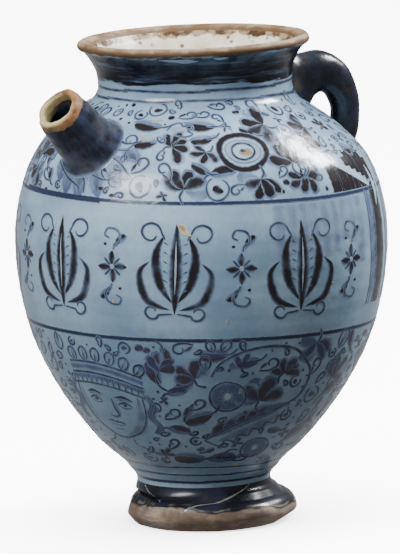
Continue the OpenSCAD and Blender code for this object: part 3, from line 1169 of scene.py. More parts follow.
@dataclass(frozen=True)
class SpoutGlaze:
    """Dark glaze of the spout, streaked along it, worn to clay at the tip, run out at the root, with painted
    shade in the bore.
    """

    black: Colour = tone(32, 34, 44)
    blue: Colour = tone(58, 68, 94)
    grey: Colour = tone(100, 100, 112)
    rust: Colour = tone(104, 66, 38)
    tan: Colour = tone(158, 116, 76)
    straw: Colour = tone(190, 174, 130)
    bore: Colour = tone(176, 164, 122)
    # Near-black painted shade for deep inside the bore.
    deep: Colour = tone(8, 7, 6)

    def local(self, nodes: Nodes, spout: Spout) -> Socket:
        """Gives coordinates in metres from the spout's mouth: up, across and out along it."""
        axes = Matrix((spout.up, spout.side, spout.out)).transposed()
        frame = {"Location": spout.mouth * MM, "Rotation": axes.to_euler()}
        return nodes.add("Mapping", "Vector", {"Vector": nodes.place, **frame}, vector_type="TEXTURE")

    def glazed(self, nodes: Nodes, local: Socket, pale: PaleGlaze) -> Socket:
        """Wires the streaked glaze, which runs out into the shoulder's glaze at the root.

        Args:
            nodes: The material's nodes.
            local: Coordinates on the spout.
            pale: Glaze of the shoulder.

        Returns:
            The colour.
        """
        streak = nodes.noise(1.0, 4, 0.6, nodes.stretched((150, 150, 30), local))
        body = nodes.blend(nodes.span(streak, 0.34, 0.66), self.black, self.blue)
        clouded = nodes.blend(nodes.span(nodes.noise(65, 4), 0.44, 0.70, 0.0, 0.8), body, self.grey)
        root = nodes.span(nodes.plus(nodes.stored("share"), nodes.wander(48, 4, 0.26)), 0.86, 1.02)
        return nodes.blend(root, clouded, pale.colour(nodes))

    def material(self, spout: Spout, pale: PaleGlaze) -> Material:
        """Makes the spout's finish, inside and out.

        Args:
            spout: The spout, for its axes and sizes.
            pale: Glaze of the shoulder, which shows at the root.

        Returns:
            The material.
        """
        nodes = Nodes("spout_glaze")
        bore, tip = spout.bore * MM, spout.tip_radius * MM
        local = self.local(nodes, spout)
        parts = nodes.tree.nodes.new("ShaderNodeSeparateXYZ")
        nodes.tree.links.new(local, parts.inputs[0])
        along = parts.outputs["Z"]
        square = nodes.plus(*(nodes.sum(Sum.POWER, parts.outputs[axis], 2.0) for axis in "XY"))
        inner = nodes.span(square, (bore * 1.02) ** 2, (bore * 1.16) ** 2, 1.0, 0.0)
        worn = nodes.span(nodes.plus(along, nodes.wander(150, 4, 0.006)), -3.2 * MM, -2.4 * MM)
        rusty = nodes.blend(nodes.span(nodes.noise(190, 4), 0.35, 0.68), self.rust, self.tan)
        inward = nodes.span(square, (bore * 1.1) ** 2, (tip * 0.92) ** 2)
        patchy = nodes.times(inward, nodes.span(nodes.noise(120, 4), 0.3, 0.5, 0.55, 1.0))
        clay = nodes.blend(patchy, self.straw, rusty)
        outside = nodes.blend(worn, self.glazed(nodes, local, pale), clay)
        # Painted shade: the bore's straw colour near the tip turns near black from 2.2 mm to 6.5 mm further
        # in.
        throat = nodes.blend(nodes.span(along, -6.5 * MM, -2.2 * MM), self.deep, self.bore)
        nodes.relief(nodes.plus(nodes.noise(95, 3), nodes.times(worn, nodes.noise(420, 4))), 0.3, 0.0014)
        return nodes.finish(nodes.blend(inner, outside, throat), nodes.span(worn, 0.0, 1.0, 0.2, 0.6))


@dataclass
class Handle:
    """Pulled round handle from the collar to the shoulder, spread at both roots."""

    skin: Skin
    turn: float = -15.0
    radius: float = 7.6
    level: float = 219.9
    reach: float = 87.1
    bend: float = 17.0
    grip: float = 29.0
    start: float = 44.5
    end_angle: float = -58.0
    spread: float = 3.6
    spread_length: float = 4.5
    spread_fade: float = 4.0
    low_spread: float = 2.2
    low_length: float = 7.0
    low_fade: float = 5.0
    arm_depth: float = 1.6
    arm_fade: float = 34.0
    root_depth: float = 8.2
    root_length: float = 14.5
    root_fade: float = 5.5
    sunk: float = 3.5
    arm_rings: int = 14
    bend_rings: int = 21
    grip_rings: int = 22
    segments: int = 40

    def path(self) -> list[tuple[Vector, Vector]]:
        """Walks the handle's centreline.

        Returns:
            Points and directions in millimetres, from the collar to the shoulder.
        """
        centre = Vector((self.reach - self.bend, 0, self.level - self.bend))
        hub = Vector((self.reach - self.grip, 0, centre.z))
        walk = []
        for i in range(self.arm_rings):
            x = self.start + (centre.x - self.start) * i / self.arm_rings
            walk.append((Vector((x, 0, self.level)), Vector((1, 0, 0))))
        bend = [(centre, self.bend, 90 - 90 * i / self.bend_rings) for i in range(self.bend_rings)]
        grip = [(hub, self.grip, self.end_angle * i / self.grip_rings) for i in range(self.grip_rings + 1)]
        for middle, radius, angle in bend + grip:
            a = radians(angle)
            out, ahead = Vector((cos(a), 0, sin(a))), Vector((sin(a), 0, -cos(a)))
            walk.append((middle + radius * out, ahead))
        swing = Matrix.Rotation(radians(self.turn), 3, "Z")
        return [(swing @ point, swing @ ahead) for point, ahead in walk]

    def ring(self, middle: Vector, inward: Vector, level: Vector, wide: float, deep: float) -> Ring:
        """Gives a ring of the rod.

        Args:
            middle: Middle of the ring in millimetres.
            inward: Direction to the inside of the bend.
            level: Level direction across the rod.
            wide: Half of the rod's width in millimetres.
            deep: How much more the rod measures inwards than across.

        Returns:
            The ring.
        """

        def spot(turn: float) -> Vector:
            """Gives a point of the ring, sunk no deeper into the jar's wall than it may be."""
            ridge = 1 + 0.035 * cos(2 * turn) + 0.02 * cos(3 * turn + 0.8)
            across = level * (cos(turn) * wide) + inward * (sin(turn) * (wide + deep))
            return self.skin.settle(self.skin.held(middle + across * ridge, self.sunk))

        return spot

    def build(self, material: Material) -> Piece:
        """Lofts the rod and smooths its roots out on collar and shoulder."""
        walk = self.path()
        lengths = [0.0]
        for (before, _), (after, _) in zip(walk, walk[1:]):
            lengths.append(lengths[-1] + (after - before).length)
        turn = radians(self.turn)
        level = Vector((sin(turn), -cos(turn), 0))
        rings = []
        for (point, ahead), length in zip(walk, lengths):
            top = fade(length - self.spread_length, self.spread_fade, 1.4)
            foot = fade(lengths[-1] - self.low_length - length, self.low_fade, 1.4)
            wide = self.radius * (1 + 0.03 * sin(length * 0.31))
            wide += self.spread * top
            wide += self.low_spread * foot
            inward = ahead.cross(level)
            deep = self.arm_depth * fade(length, self.arm_fade)
            deep += self.root_depth * fade(length - self.root_length, self.root_fade)
            rings.append(self.ring(point + inward * deep, inward, level, wide, deep))
        bm = lofted(rings, self.segments, closed=False)
        stands_for = ["handle", "handle_top_slip", "handle_bottom_slip"]
        return make_piece("jar_handle", bm, material, "dark_glaze", stands_for)


@dataclass(frozen=True)
class Spot:
    """Place on the skin, with a direction for what is painted there."""

    turn: float
    height: float
    aim: float = 0.0
    flip: float = 1.0
    shift: Point = (0.0, 0.0)

    def flat(self, point: Point) -> Point:
        """Moves a point of a motif to the flat sheet around the place, in millimetres."""
        x, y = point[0], point[1] * self.flip
        a = radians(self.aim)
        right, up = x * cos(a) - y * sin(a), x * sin(a) + y * cos(a)
        return (self.shift[0] + right, self.shift[1] + up)

    def beside(self, x: float, y: float, aim: float = 0.0) -> "Spot":
        """Gives a place near this one, in its own directions."""
        return Spot(self.turn, self.height, self.aim + aim * self.flip, self.flip, self.flat((x, y)))


def smooth_path(points: Path, spacing: float) -> list[Point]:
    """Draws an even curve through points.

    Args:
        points: Points that the curve passes.
        spacing: Distance between the points given back.

    Returns:
        Evenly spaced points.
    """
    ends = [points[0], *points, points[-1]]
    fine: list[Point] = []
    for p0, p1, p2, p3 in zip(ends, ends[1:], ends[2:], ends[3:]):
        for i in range(12):
            t = i / 12
            fine.append(tuple(
                0.5 * (2 * b + (c - a) * t
                       + (2 * a - 5 * b + 4 * c - d) * t * t
                       + (3 * b - a - 3 * c + d) * t ** 3)
                for a, b, c, d in zip(p0, p1, p2, p3)))
    fine.append(tuple(points[-1]))
    lengths = [0.0]
    for before, after in zip(fine, fine[1:]):
        lengths.append(lengths[-1] + dist(before, after))
    count = max(3, ceil(lengths[-1] / spacing))
    even = []
    for i in range(count + 1):
        goal = lengths[-1] * i / count
        k = min(max(1, bisect.bisect_left(lengths, goal)), len(lengths) - 1)
        gap = lengths[k] - lengths[k - 1]
        share = (goal - lengths[k - 1]) / gap if gap else 0.0
        even.append(tuple(a + share * (b - a) for a, b in zip(fine[k - 1], fine[k])))
    return even


@dataclass
class Brushwork:
    """Lays brush strokes on the skin as thin closed slabs, one sheet for each paint in each zone."""

    skin: Skin
    depth: float = 0.16
    seed: int = 11
    zone: Zone = Zone.SHOULDER
    sheets: dict[tuple[Zone, Paint], Work] = field(default_factory=dict)

    def __post_init__(self) -> None:
        """Starts the hand's small unevenness from a fixed seed."""
        self.hand = random.Random(self.seed)

    def sheet(self, paint: Paint) -> Work:
        """Gives the sheet of a paint in the present zone, started on its first use."""
        key = (self.zone, paint)
        if key not in self.sheets:
            bm = bmesh.new()
            bm.verts.layers.float.new("tone")
            bm.verts.layers.float_vector.new("under")
            self.sheets[key] = bm
        return self.sheets[key]

    def stroke(
        self, paint: Paint, spot: Spot, path: Path, width: float, nib: Nib = Nib.LINE,
        thick: float = 0.9,
    ) -> None:
        """Draws one stroke.

        Args:
            paint: Paint of the stroke.
            spot: Place that the path is drawn around.
            path: Points of the motif that the stroke passes.
            width: Full width in millimetres.
            nib: How the width runs along the stroke.
            thick: Thickness of the paint: 0 for a thin wash, 1 for a full brush, more for a solid edge too.
        """
        places = [spot.flat(p) for p in path]
        length = sum(dist(a, b) for a, b in zip(places, places[1:]))
        fine = min(1.0 if width < 2 else 1.5, length / 10)
        flat = smooth_path(places, fine)
        count = len(flat) - 1
        bm = self.sheet(paint)
        tone_layer = bm.verts.layers.float["tone"]
        under_layer = bm.verts.layers.float_vector["under"]
        rows = 2 if width < 1.7 else 4 if width < 5 else 6
        made = bmesh.ops.create_grid(bm, x_segments=count, y_segments=rows, size=0.5)["verts"]
        lift = paint.value + self.hand.uniform(0, 0.018)
        jitter = self.hand.uniform(-0.1, 0.1)
        phase = self.hand.uniform(0, 6.28)
        rough = 0.08 if nib in (Nib.LINE, Nib.BAND) else 0.06
        start = self.skin.along(spot.height)
        for vert in made:
            i = round((vert.co.x + 0.5) * count)
            across = vert.co.y * 2
            before, after = flat[max(0, i - 1)], flat[min(count, i + 1)]
            dx, dy = after[0] - before[0], after[1] - before[1]
            norm = hypot(dx, dy) or 1.0
            shake = 1 + rough * sin(i * fine * 1.7 + phase + (2.1 if across > 0 else 0.0))
            half = max(0.07, width * nib.share(i / count) * shake / 2) * across
            x = flat[i][0] - dy / norm * half
            along = start + flat[i][1] + dx / norm * half
            turn = radians(spot.turn) + x / self.skin.outline(along)[0][0]
            vert.co = self.skin.place(turn, along, lift)
            vert[under_layer] = self.skin.place(turn, along, -self.depth)
            full = (thick + jitter) * (1.1 - 0.95 * abs(across) ** 2.5)
            vert[tone_layer] = full + 0.08 * sin(i * 0.7 + phase)

    def lay(self, zone: Zone, paint: Paint, material: Material, slot: str) -> None:
        """Closes a paint's sheet into slabs and makes it a piece, if it was used.

        Args:
            zone: Zone of the sheet.
            paint: Paint of the sheet.
            material: Finish of the paint.
            slot: Material slot of the record.
        """
        bm = self.sheets.pop((zone, paint), None)
        if bm is None:
            return
        under = bm.verts.layers.float_vector["under"]
        made = bmesh.ops.extrude_face_region(bm, geom=bm.faces[:], use_keep_orig=True)["geom"]
        for item in made:
            if isinstance(item, bmesh.types.BMVert):
                item.co = item[under]
        bm.verts.layers.float_vector.remove(under)
        bmesh.ops.recalc_face_normals(bm, faces=bm.faces)
        make_piece(f"{zone.value}_{paint.name.lower()}", bm, material, slot)

    def dress(self) -> None:
        """Makes every sheet a piece in its paint; the foliage has a dark of its own, plum with navy clouds
        and lighter than the shoulder's, which is painted light for the dimmer lower body.
        """
        softer = FOLIAGE_DARK_PAINTED_LIGHTER.material("paint_dark_soft")
        for paint, (finish, slot) in PAINTS.items():
            material = finish.material(f"paint_{paint.name.lower()}")
            for zone in Zone:
                soft = zone is Zone.FOLIAGE and paint is DARK
                self.lay(zone, paint, softer if soft else material, slot)


def scaled(size: float, *path: Point, wide: float | None = None) -> list[Point]:
    """Sizes a path that is drawn in shares of a motif's length and, where it differs, of its width."""
    across = size if wide is None else wide
    return [(size * x, across * y) for x, y in path]


MotifRow = tuple[Motif, float, float, float, float]
SPRIGS = {
    CLUSTER: (3, 0.95),
    BUD: (2, 0.7),
    CURL: (4, 1.1),
    LOOP: (2, 1.7),
    LEAF: (3, 1.7),
    DOT: (1, 0.34),
}
"""Motifs that fill a zone, each with its weight in the choice and its size as a share of its room."""


@dataclass
class MotifBook:
    """Stock motifs, each painted with a few strokes, and the room that they take up.

    A motif's method takes the place where the motif is painted and its size in millimetres.
    """

    brush: Brushwork
    pen: float = 1.6
    taken: list[tuple[float, float, float]] = field(default_factory=list)

    def __post_init__(self) -> None:
        """Takes up the brush, with its skin, its hand and its stroke."""
        self.skin = self.brush.skin
        self.hand = self.brush.hand
        self.draw = self.brush.stroke

    def keep(self, spot: Spot, reach: float) -> None:
        """Marks the room that a motif takes."""
        skin = self.skin
        along = skin.along(spot.height) + spot.shift[1]
        (radius, height), _ = skin.outline(along)
        self.taken.append((spot.turn + degrees(spot.shift[0] / radius), height, reach))

    def paint_motif(self, motif: Motif, spot: Spot, size: float) -> None:
        """Paints a motif by its name."""
        getattr(self, motif.value)(spot, size)

    @staticmethod
    def circle(radius: float, start: float = 0.0, sweep: float = 368.0, shrink: float = 0.0) -> list[Point]:
        """Draws a circle by hand, so it isn't quite round.

        Args:
            radius: Radius where the circle starts.
            start: Angle where it starts, in degrees.
            sweep: Angle that it runs through, in degrees.
            shrink: Share of the radius that is lost on the way.

        Returns:
            Points around the middle.
        """
        count = max(6, int(abs(sweep) / 18))
        walk = []
        for i in range(count + 1):
            a = radians(start + sweep * i / count)
            shake = 1 + 0.035 * sin(2 * a + radius) + 0.025 * sin(3 * a + 1)
            r = radius * (1 - shrink * i / count) * shake
            walk.append((r * cos(a), r * sin(a)))
        return walk

    def blot(
        self, paint: Paint, spot: Spot, half: float, bulge: float, width: float, thick: float = 0.9,
        nib: Nib = Nib.BLOB,
    ) -> None:
        """Paints a short stroke around a place, half its length to each side, that bulges a little."""
        self.draw(paint, spot, [(-half, 0), (0, bulge), (half, 0)], width, nib, thick)

    def dot(self, spot: Spot, size: float) -> None:
        """Paints a dark dab."""
        self.blot(DARK, spot, size, 0.15 * size, 1.9 * size)
        self.keep(spot, size)

    def leaf(self, spot: Spot, size: float) -> None:
        """Paints a dark leaf that is pale along one side and has a thin stalk."""
        line = scaled(size, (0, 0), (0.5, 0.07), (1, 0))
        stalk = [*scaled(size, (-0.35, -0.22), (-0.1, -0.02)), (size * 0.3, 0.1)]
        self.draw(WASH, spot, [(x * 1.06, y - size * 0.1) for x, y in line], size * 0.56, Nib.LEAF, 0.8)
        self.draw(DARK, spot.beside(0, size * 0.03), line, size * 0.42, Nib.LOBE, 1.0)
        self.draw(LINE, spot, stalk, self.pen)
        self.keep(spot.beside(size * 0.5, 0), size * 0.42)

    def bow(self, spot: Spot, size: float) -> None:
        """Paints a pair of leaves that part from one stalk."""
        self.leaf(spot.beside(0, 0, 18), size)
        self.leaf(spot.beside(0, 0, 158), size * 0.85)

    def cluster(self, spot: Spot, size: float) -> None:
        """Paints blunt lobes that fan out from a stalk, brown-dark over blue."""
        hand = self.hand
        fan = 165.0
        count = 5 if size > 8 else 4 if size > 5 else 3
        for i in range(count):
            lobe = spot.beside(0, 0, fan * (i / (count - 1) - 0.5) + hand.uniform(-14, 14))
            reach = size * hand.uniform(0.85, 1.15)
            path = [(size * 0.02, 0), (reach * 0.55, reach * 0.1), (reach, 0)]
            wide = size * hand.uniform(0.48, 0.66)
            halo = [(x * 1.12, y) for x, y in path]
            self.draw(WASH, lobe, halo, wide * 1.35, Nib.LOBE, hand.uniform(0.5, 0.9))
            if hand.random() < 0.85:
                self.draw(DARK, lobe, path, wide, Nib.LOBE, hand.uniform(0.75, 1.15))
        self.draw(LINE, spot, scaled(size, (0, 0), (-0.35, 0.1), (-0.7, -0.15)), self.pen)
        self.keep(spot.beside(size * 0.4, 0), size * 0.8)

    def bud(self, spot: Spot, size: float) -> None:
        """Paints an open ring that curls round a dark dab."""
        start = self.hand.uniform(20, 160)
        self.draw(LINE, spot, self.circle(size, start, 310, 0.14), self.pen)
        dab = scaled(size, (-0.5, 0), (0, 0.08), (0.45, 0))
        self.draw(DARK, spot.beside(0, 0, start + 40), dab, size * 0.78, Nib.LOBE, 0.95)
        self.keep(spot, size + 0.6)

    def curl(self, spot: Spot, size: float) -> None:
        """Paints a stalk that winds into an open curl, with a dark leaf at its foot."""
        path = scaled(size, (-1, -0.2), (-0.3, -0.5), (0.25, -0.5))
        path += [(size * 0.25 + x, y) for x, y in self.circle(size * 0.5, -60, 260, 0.35)]
        self.draw(LINE, spot, path, self.pen * 1.05)
        foot = scaled(size, (-0.9, -0.1), (-0.5, 0.1), (-0.1, 0.25))
        self.draw(DARK, spot, foot, size * 0.34, Nib.LEAF, 0.75)
        self.keep(spot, size * 0.85)

    def loop(self, spot: Spot, size: float) -> None:
        """Paints an open petal in outline, washed down one side."""
        wide = size * 0.58
        outline = ((0, 0), (0.3, 0.5), (0.75, 0.55), (1, 0), (0.75, -0.5), (0.3, -0.45), (0.05, -0.1))
        washed = scaled(size, (0.12, 0), (0.5, -0.15), (0.92, 0), wide=wide)
        root = scaled(size, (0.05, 0), (0.3, 0.06), (0.6, 0), wide=wide)
        self.draw(LINE, spot, scaled(size, *outline, wide=wide), self.pen * 0.9)
        self.draw(WASH, spot, washed, wide * 0.62, Nib.LEAF, 0.5)
        self.draw(DARK, spot, root, wide * 0.34, Nib.LEAF, 0.7)
        self.keep(spot.beside(size * 0.5, 0), size * 0.5)

    def tendril(self, spot: Spot, size: float) -> None:
        """Paints a thin stalk that ends in a small curl with a dab."""
        path = scaled(size, (0, 0), (0.35, 0.14), (0.7, 0.03))
        path += [(size * 0.85 + x, size * 0.24 + y) for x, y in self.circle(size * 0.24, -90, 290, 0.5)]
        self.draw(LINE, spot, path, self.pen * 0.9)
        self.blot(DARK, spot.beside(*path[-1]), 0.9, 0.1, 1.6, 0.8)
        self.keep(spot.beside(size * 0.8, size * 0.2), size * 0.3)

    def trefoil(self, spot: Spot, size: float) -> None:
        """Paints a three-lobed leaf in outline over a thin wash."""
        upper = ((-1, -0.1), (-0.6, 0.55), (0, 0.75), (0.25, 0.35), (0.8, 0.5))
        lower = ((0.95, 0.05), (0.6, -0.1), (1, -0.5), (0.4, -0.75), (-0.4, -0.55))
        self.draw(WASH, spot, scaled(size, (-0.8, 0), (0, 0), (0.7, 0)), size * 0.9, Nib.BLOB, 0.25)
        self.draw(LINE, spot, scaled(size, *upper, *lower), self.pen)
        self.keep(spot, size)

    def rosette(self, spot: Spot, size: float) -> None:
        """Paints the large flower: a heavy dark ring, a pale ring, and a dark eye on ochre."""

        def oval(share: float, start: float = 0.0) -> list[Point]:
            """Draws a flattened ring at a share of the flower's size."""
            return [(x * 1.08, y * 0.84) for x, y in self.circle(size * share, start)]

        self.draw(WASH, spot, oval(0.52), size * 0.2, Nib.BAND, 0.15)
        self.draw(DARK, spot, oval(0.88), size * 0.27, Nib.BAND, 1.05)
        self.draw(LINE, spot, oval(0.62, 90), 0.8, Nib.LINE, 0.4)
        self.blot(OCHRE, spot.beside(size * 0.08, -size * 0.05), size * 0.26, 0, size * 0.42)
        self.draw(DARK, spot, oval(0.42, 30), size * 0.12, Nib.BAND, 0.95)
        self.blot(DARK, spot, size * 0.12, 0.2, size * 0.2, 0.8)
        ray = [(size * 0.95, 0), (size * 1.12, 0.3), (size * 1.3, 0)]
        for aim in range(20, 380, 40):
            self.draw(WASH, spot.beside(0, 0, aim), ray, size * 0.2, Nib.DROP, 0.6)
        self.keep(spot, size + 1.5)

    def flower(self, spot: Spot, size: float) -> None:
        """Paints a soft round flower in wash, with darker petals round a pale eye."""
        self.draw(WASH, spot, self.circle(size * 0.6), size * 0.8, Nib.BAND, 0.85)
        petal = [(size * 0.24, 0), (size * 0.42, 0.2), (size * 0.62, 0)]
        for aim in range(14, 374, 60):
            self.draw(DARK, spot.beside(0, 0, aim), petal, size * 0.26, Nib.LEAF, 0.45)
        self.draw(LINE, spot, self.circle(size * 0.98, 70), self.pen * 0.9)
        self.blot(SCRATCH, spot, size * 0.17, 0.1, size * 0.36, 0.3)
        self.keep(spot, size + 0.8)

    def plume(self, spot: Spot, size: float) -> None:
        """Paints a long leaf: a washed blade, dark teeth above and thin scallops below."""
        blade = scaled(size, (0, 0), (0.35, 0.05), (0.7, 0.03), (1, -0.02))
        self.draw(WASH, spot.beside(0, size * 0.02), blade, size * 0.22, Nib.LEAF, 0.9)
        lower = [*scaled(size, (0, 0), (0.4, -0.02)), (size * 0.72, 0.1)]
        self.draw(WASH, spot.beside(size * 0.12, -size * 0.07), lower, size * 0.17, Nib.LEAF, 0.45)
        self.draw(LINE, spot, blade, self.pen)
        for i in range(5):
            reach = size * (0.2 - 0.012 * i)
            tooth = spot.beside(size * (0.1 + 0.125 * i), size * 0.035, 22)
            self.draw(DARK, tooth, scaled(reach, (0, 0), (0.6, 0.04), (1, 0)), reach * 0.62, Nib.LOBE, 0.8)
        scallops = [(0.1 + 0.08 * i, -0.09 if i % 2 else -0.15) for i in range(11)]
        self.draw(LINE, spot, scaled(size, (0, 0), *scallops, (0.97, -0.04)), self.pen * 0.9)
        for share in (0.2, 0.4, 0.6, 0.8):
            self.keep(spot.beside(size * share, 0), size * 0.13)

    def palmette(self, spot: Spot, size: float) -> None:
        """Paints an upright palm flower: a dark blade between paired, curled leaves."""
        self.draw(DARK, spot, [(0, -size), (0.3, 0), (0, size * 0.98)], size * 0.3, Nib.LEAF, 0.9)
        self.draw(SCRATCH, spot, [(0, -size * 0.55), (0.2, 0), (0, size * 0.6)], 0.9, Nib.LEAF)
        inner = [(0.06, -0.74), (0.34, -0.3), (0.42, 0.3), (0.25, 0.72)]
        outer = [(0.1, -0.9), (0.6, -0.7), (0.78, -0.14), (0.56, 0.14)]
        curl = [(0.24, 0.62), *((0.56 + x, 0.74 + y) for x, y in self.circle(0.24, 170, -330, 0.45))]
        root = [(0.05, -0.98), *((0.5 + x, -0.96 + y) for x, y in self.circle(0.17, 200, 330, 0.45))]
        parts = (
            (inner, size * 0.24, Nib.LEAF, DARK),
            (outer, size * 0.2, Nib.LEAF, DARK),
            (curl, self.pen, Nib.LINE, LINE),
            (root, self.pen, Nib.LINE, LINE),
        )
        for reach in (-size, size):
            for path, width, nib, paint in parts:
                self.draw(paint, spot, scaled(reach, *path, wide=size), width, nib, 0.85)
            for i in range(6):
                y = size * (-0.5 + 0.2 * i)
                barb = [(reach * 0.15, y), (reach * 0.2, y + 0.6), (reach * 0.26, y + 1.5)]
                self.draw(LINE, spot, barb, 0.8, Nib.DROP)

    def quatrefoil(self, spot: Spot, size: float) -> None:
        """Paints a four-petalled flower with sprigs above and below."""
        petal = [(size * 0.1, 0), (size * 0.55, 0.3), (size, 0)]
        stamen = [(size * 0.12, 0), (size * 0.4, 0.2), (size * 0.75, 0)]
        for aim in range(0, 360, 90):
            self.draw(DARK, spot.beside(0, 0, aim), petal, size * 0.5, Nib.LEAF, 0.8)
            self.draw(LINE, spot.beside(0, 0, aim + 45), stamen, self.pen)
        self.blot(SCRATCH, spot, size * 0.14, 0.1, size * 0.3)
        sprig = ((0, 1.1), (0.5, 1.6), (0.35, 2.2), (-0.3, 2.35), (-0.55, 1.95), (-0.2, 1.75))
        for reach, aim in ((-size, 220), (size, 40)):
            self.draw(LINE, spot, scaled(reach, *sprig), self.pen, Nib.LINE, 0.7)
            self.leaf(spot.beside(reach * 0.2, reach * 1.4, aim), size * 0.9)
            self.dot(spot.beside(-reach * 0.5, reach * 1.35), 0.9)


@dataclass
class Ornament(MotifBook):
    """Painted foliage, flowers and borders, set out over the whole jar."""

    upper_line: float = 170.0
    lower_line: float = 102.4
    edges: Point = (71.0, -107.0)
    spout_foot: Spot = Spot(-45, 180)
    shoulder_fill: Point = (172.5, 214.0)
    foliage_fill: Point = (35.0, 100.0)
    tries: int = 3600
    least_room: float = 1.9
    edge_room: float = 2.5
    sprig_sizes: Point = (4.0, 7.0)
    small_sprig: float = 3.0

    def ring_line(
        self, height: float, width: float, wave: float, breaks: Sequence[float], thick: float = 0.7
    ) -> None:
        """Paints a line around the jar by hand.

        Args:
            height: Height of the line in millimetres.
            width: Width of the line.
            wave: How far the hand wanders.
            breaks: Turns where the brush was lifted; two turns give one short stroke, more go all around.
            thick: Thickness of the paint.
        """
        overlap = 3.0
        radius = self.skin.outline(self.skin.along(height))[0][0]
        ends = [*breaks[1:], breaks[0] + 360.0] if len(breaks) > 2 else breaks[1:]
        for start, end in zip(breaks, ends):
            count = max(4, int((end - start) / 6))
            path = []
            for i in range(count + 1):
                a = start + (end - start + overlap) * i / count
                drift = wave * (1 - 2 * i / count)
                path.append((radius * radians(a), drift + wave * 0.4 * sin(a * 0.11 + height)))
            self.draw(LINE, Spot(0, height), path, width, Nib.BAND, thick)

    def trail(
        self, points: Path, width: float, paint: Paint = LINE, nib: Nib = Nib.LINE,
        thick: float = 0.7,
    ) -> None:
        """Paints a stroke through places given as turn and height.

        Args:
            points: Places that the stroke passes.
            width: Full width in millimetres.
            paint: Paint of the stroke.
            nib: How the width runs along the stroke.
            thick: Thickness of the paint.
        """
        skin = self.skin
        start = skin.along(points[0][1])
        path = []
        for turn, height in points:
            along = skin.along(height)
            path.append((radians(turn - points[0][0]) * skin.outline(along)[0][0], along - start))
        self.draw(paint, Spot(points[0][0], points[0][1]), path, width, nib, thick)

    def room_at(self, spot: Spot, heights: Point) -> float:
        """Measures the free room around a place.

        Args:
            spot: The place.
            heights: Heights where the zone begins and ends.

        Returns:
            Radius in millimetres, below zero where the place is taken.
        """
        skin = self.skin
        (radius, _), (_, slope) = skin.outline(skin.along(spot.height))
        steep = 1 / sqrt(max(0.2, 1 - slope * slope))
        room = min(spot.height - heights[0], heights[1] - spot.height) * steep + self.edge_room
        for turn, height, reach in self.taken:
            around = radians((spot.turn - turn + 180) % 360 - 180) * radius
            room = min(room, hypot(around, (spot.height - height) * steep) - reach)
        return room

    def scatter(self, heights: Point) -> None:
        """Fills what is left of a zone with sprigs, each as large as its room.

        Args:
            heights: Heights where the zone begins and ends.
        """
        hand = self.hand
        weights = [weight for weight, _ in SPRIGS.values()]
        for _ in range(self.tries):
            turn, height, aim = hand.uniform(-180, 180), hand.uniform(*heights), hand.uniform(0, 360)
            spot = Spot(turn, height, aim, hand.choice((-1.0, 1.0)))
            room = self.room_at(spot, heights)
            if room < self.least_room:
                continue
            size = min(room, hand.uniform(*self.sprig_sizes))
            if size > self.small_sprig:
                motif = hand.choices(list(SPRIGS), weights)[0]
            else:
                motif = hand.choice((DOT, CURL))
            shift = -0.85 * size if motif in (LOOP, LEAF) else 0.0
            self.paint_motif(motif, spot.beside(shift, 0), size * SPRIGS[motif][1])
            self.keep(spot, size * 0.8)

    def panel(self, rows: Sequence[MotifRow], turn: float, flip: float) -> None:
        """Paints a list of motifs as one panel, mirrored if asked.

        Args:
            rows: For each motif its kind, turn, height, direction and size.
            turn: Turn of the panel's middle.
            flip: 1 as listed, or -1 mirrored.
        """
        for motif, side, height, aim, size in rows:
            bold = 1.16 if motif in (CLUSTER, LEAF, BOW) else 1.0
            spot = Spot(turn + flip * side, height, aim if flip > 0 else 180 - aim, flip)
            self.paint_motif(motif, spot, size * bold)

    def shoulder(self) -> None:
        """Paints the shoulder's foliage, around a large rosette on each side."""
        self.brush.zone = Zone.SHOULDER
        rows = (
            (ROSETTE, 16.8, 193.3, 0, 13.0), (BOW, 3.6, 183.6, -10, 10.5),
            (TREFOIL, -7, 203.5, 0, 6.5), (CLUSTER, -9.5, 196, 15, 7.5), (DOT, -6, 194.8, 20, 2.6),
            (CLUSTER, 3, 193.5, 215, 6.5), (CLUSTER, -5.5, 176.5, 75, 9.5),
            (CLUSTER, 30.5, 204.5, 160, 10), (CLUSTER, 34.6, 187.5, 85, 10),
            (CLUSTER, 20.5, 180.5, 250, 9.0), (CLUSTER, 37, 181, 250, 8.5), (CLUSTER, 46, 195, 80, 8),
            (CLUSTER, 52, 203, 160, 8), (LEAF, -15, 204.6, 172, 13), (LEAF, -15.5, 198.6, 192, 11),
            (LEAF, 8.4, 204.4, 172, 13), (LEAF, 6.5, 199.6, 190, 10), (LEAF, 25, 200, 150, 8),
            (BUD, -28, 209.5, 0, 3.6), (BUD, -20, 211.4, 0, 4.8), (BUD, -20, 177.6, 0, 6.0),
            (BUD, 5.6, 176.6, 0, 6.0), (BUD, 44.8, 210.4, 0, 4.8), (BUD, 39.5, 202.4, 0, 4.2),
            (DOT, -36.7, 213, 0, 1.3), (DOT, -11.6, 208.4, 30, 1.8), (DOT, 20.4, 209.6, 10, 2.0),
            (DOT, 29.2, 178.0, 0, 1.9), (CURL, -3.6, 209.4, 10, 5.4), (CURL, 3, 209.6, 0, 5.0),
            (CURL, 37.5, 184, 60, 6), (LOOP, -58, 208.6, 85, 8), (LOOP, -51, 207.6, 100, 8),
            (CURL, 12, 176, 200, 4.6), (CURL, -12, 185, 110, 6), (CURL, -21, 188, 40, 6.5),
            (TENDRIL, -27, 189, 75, 15), (TENDRIL, -33, 180, 110, 12), (CURL, 29, 183.6, 40, 4.4),
        )
        stains = ((-21, 199, 8, 9), (-23, 203, 0, 7), (-18, 207, 15, 6))
        self.keep(Spot(-45, 195), 22)
        self.keep(Spot(-38, 182), 9)
        for turn, flip in ((0, 1.0), (170, -1.0), (252, 1.0)):
            self.panel(rows, turn, flip)
            for side, height, aim, reach in stains:
                spot = Spot(turn + flip * side, height, aim if flip > 0 else 180 - aim)
                self.blot(OCHRE, spot, reach * 0.5, 0.6, 2.4, 0.4, Nib.LEAF)
        self.spout_root()

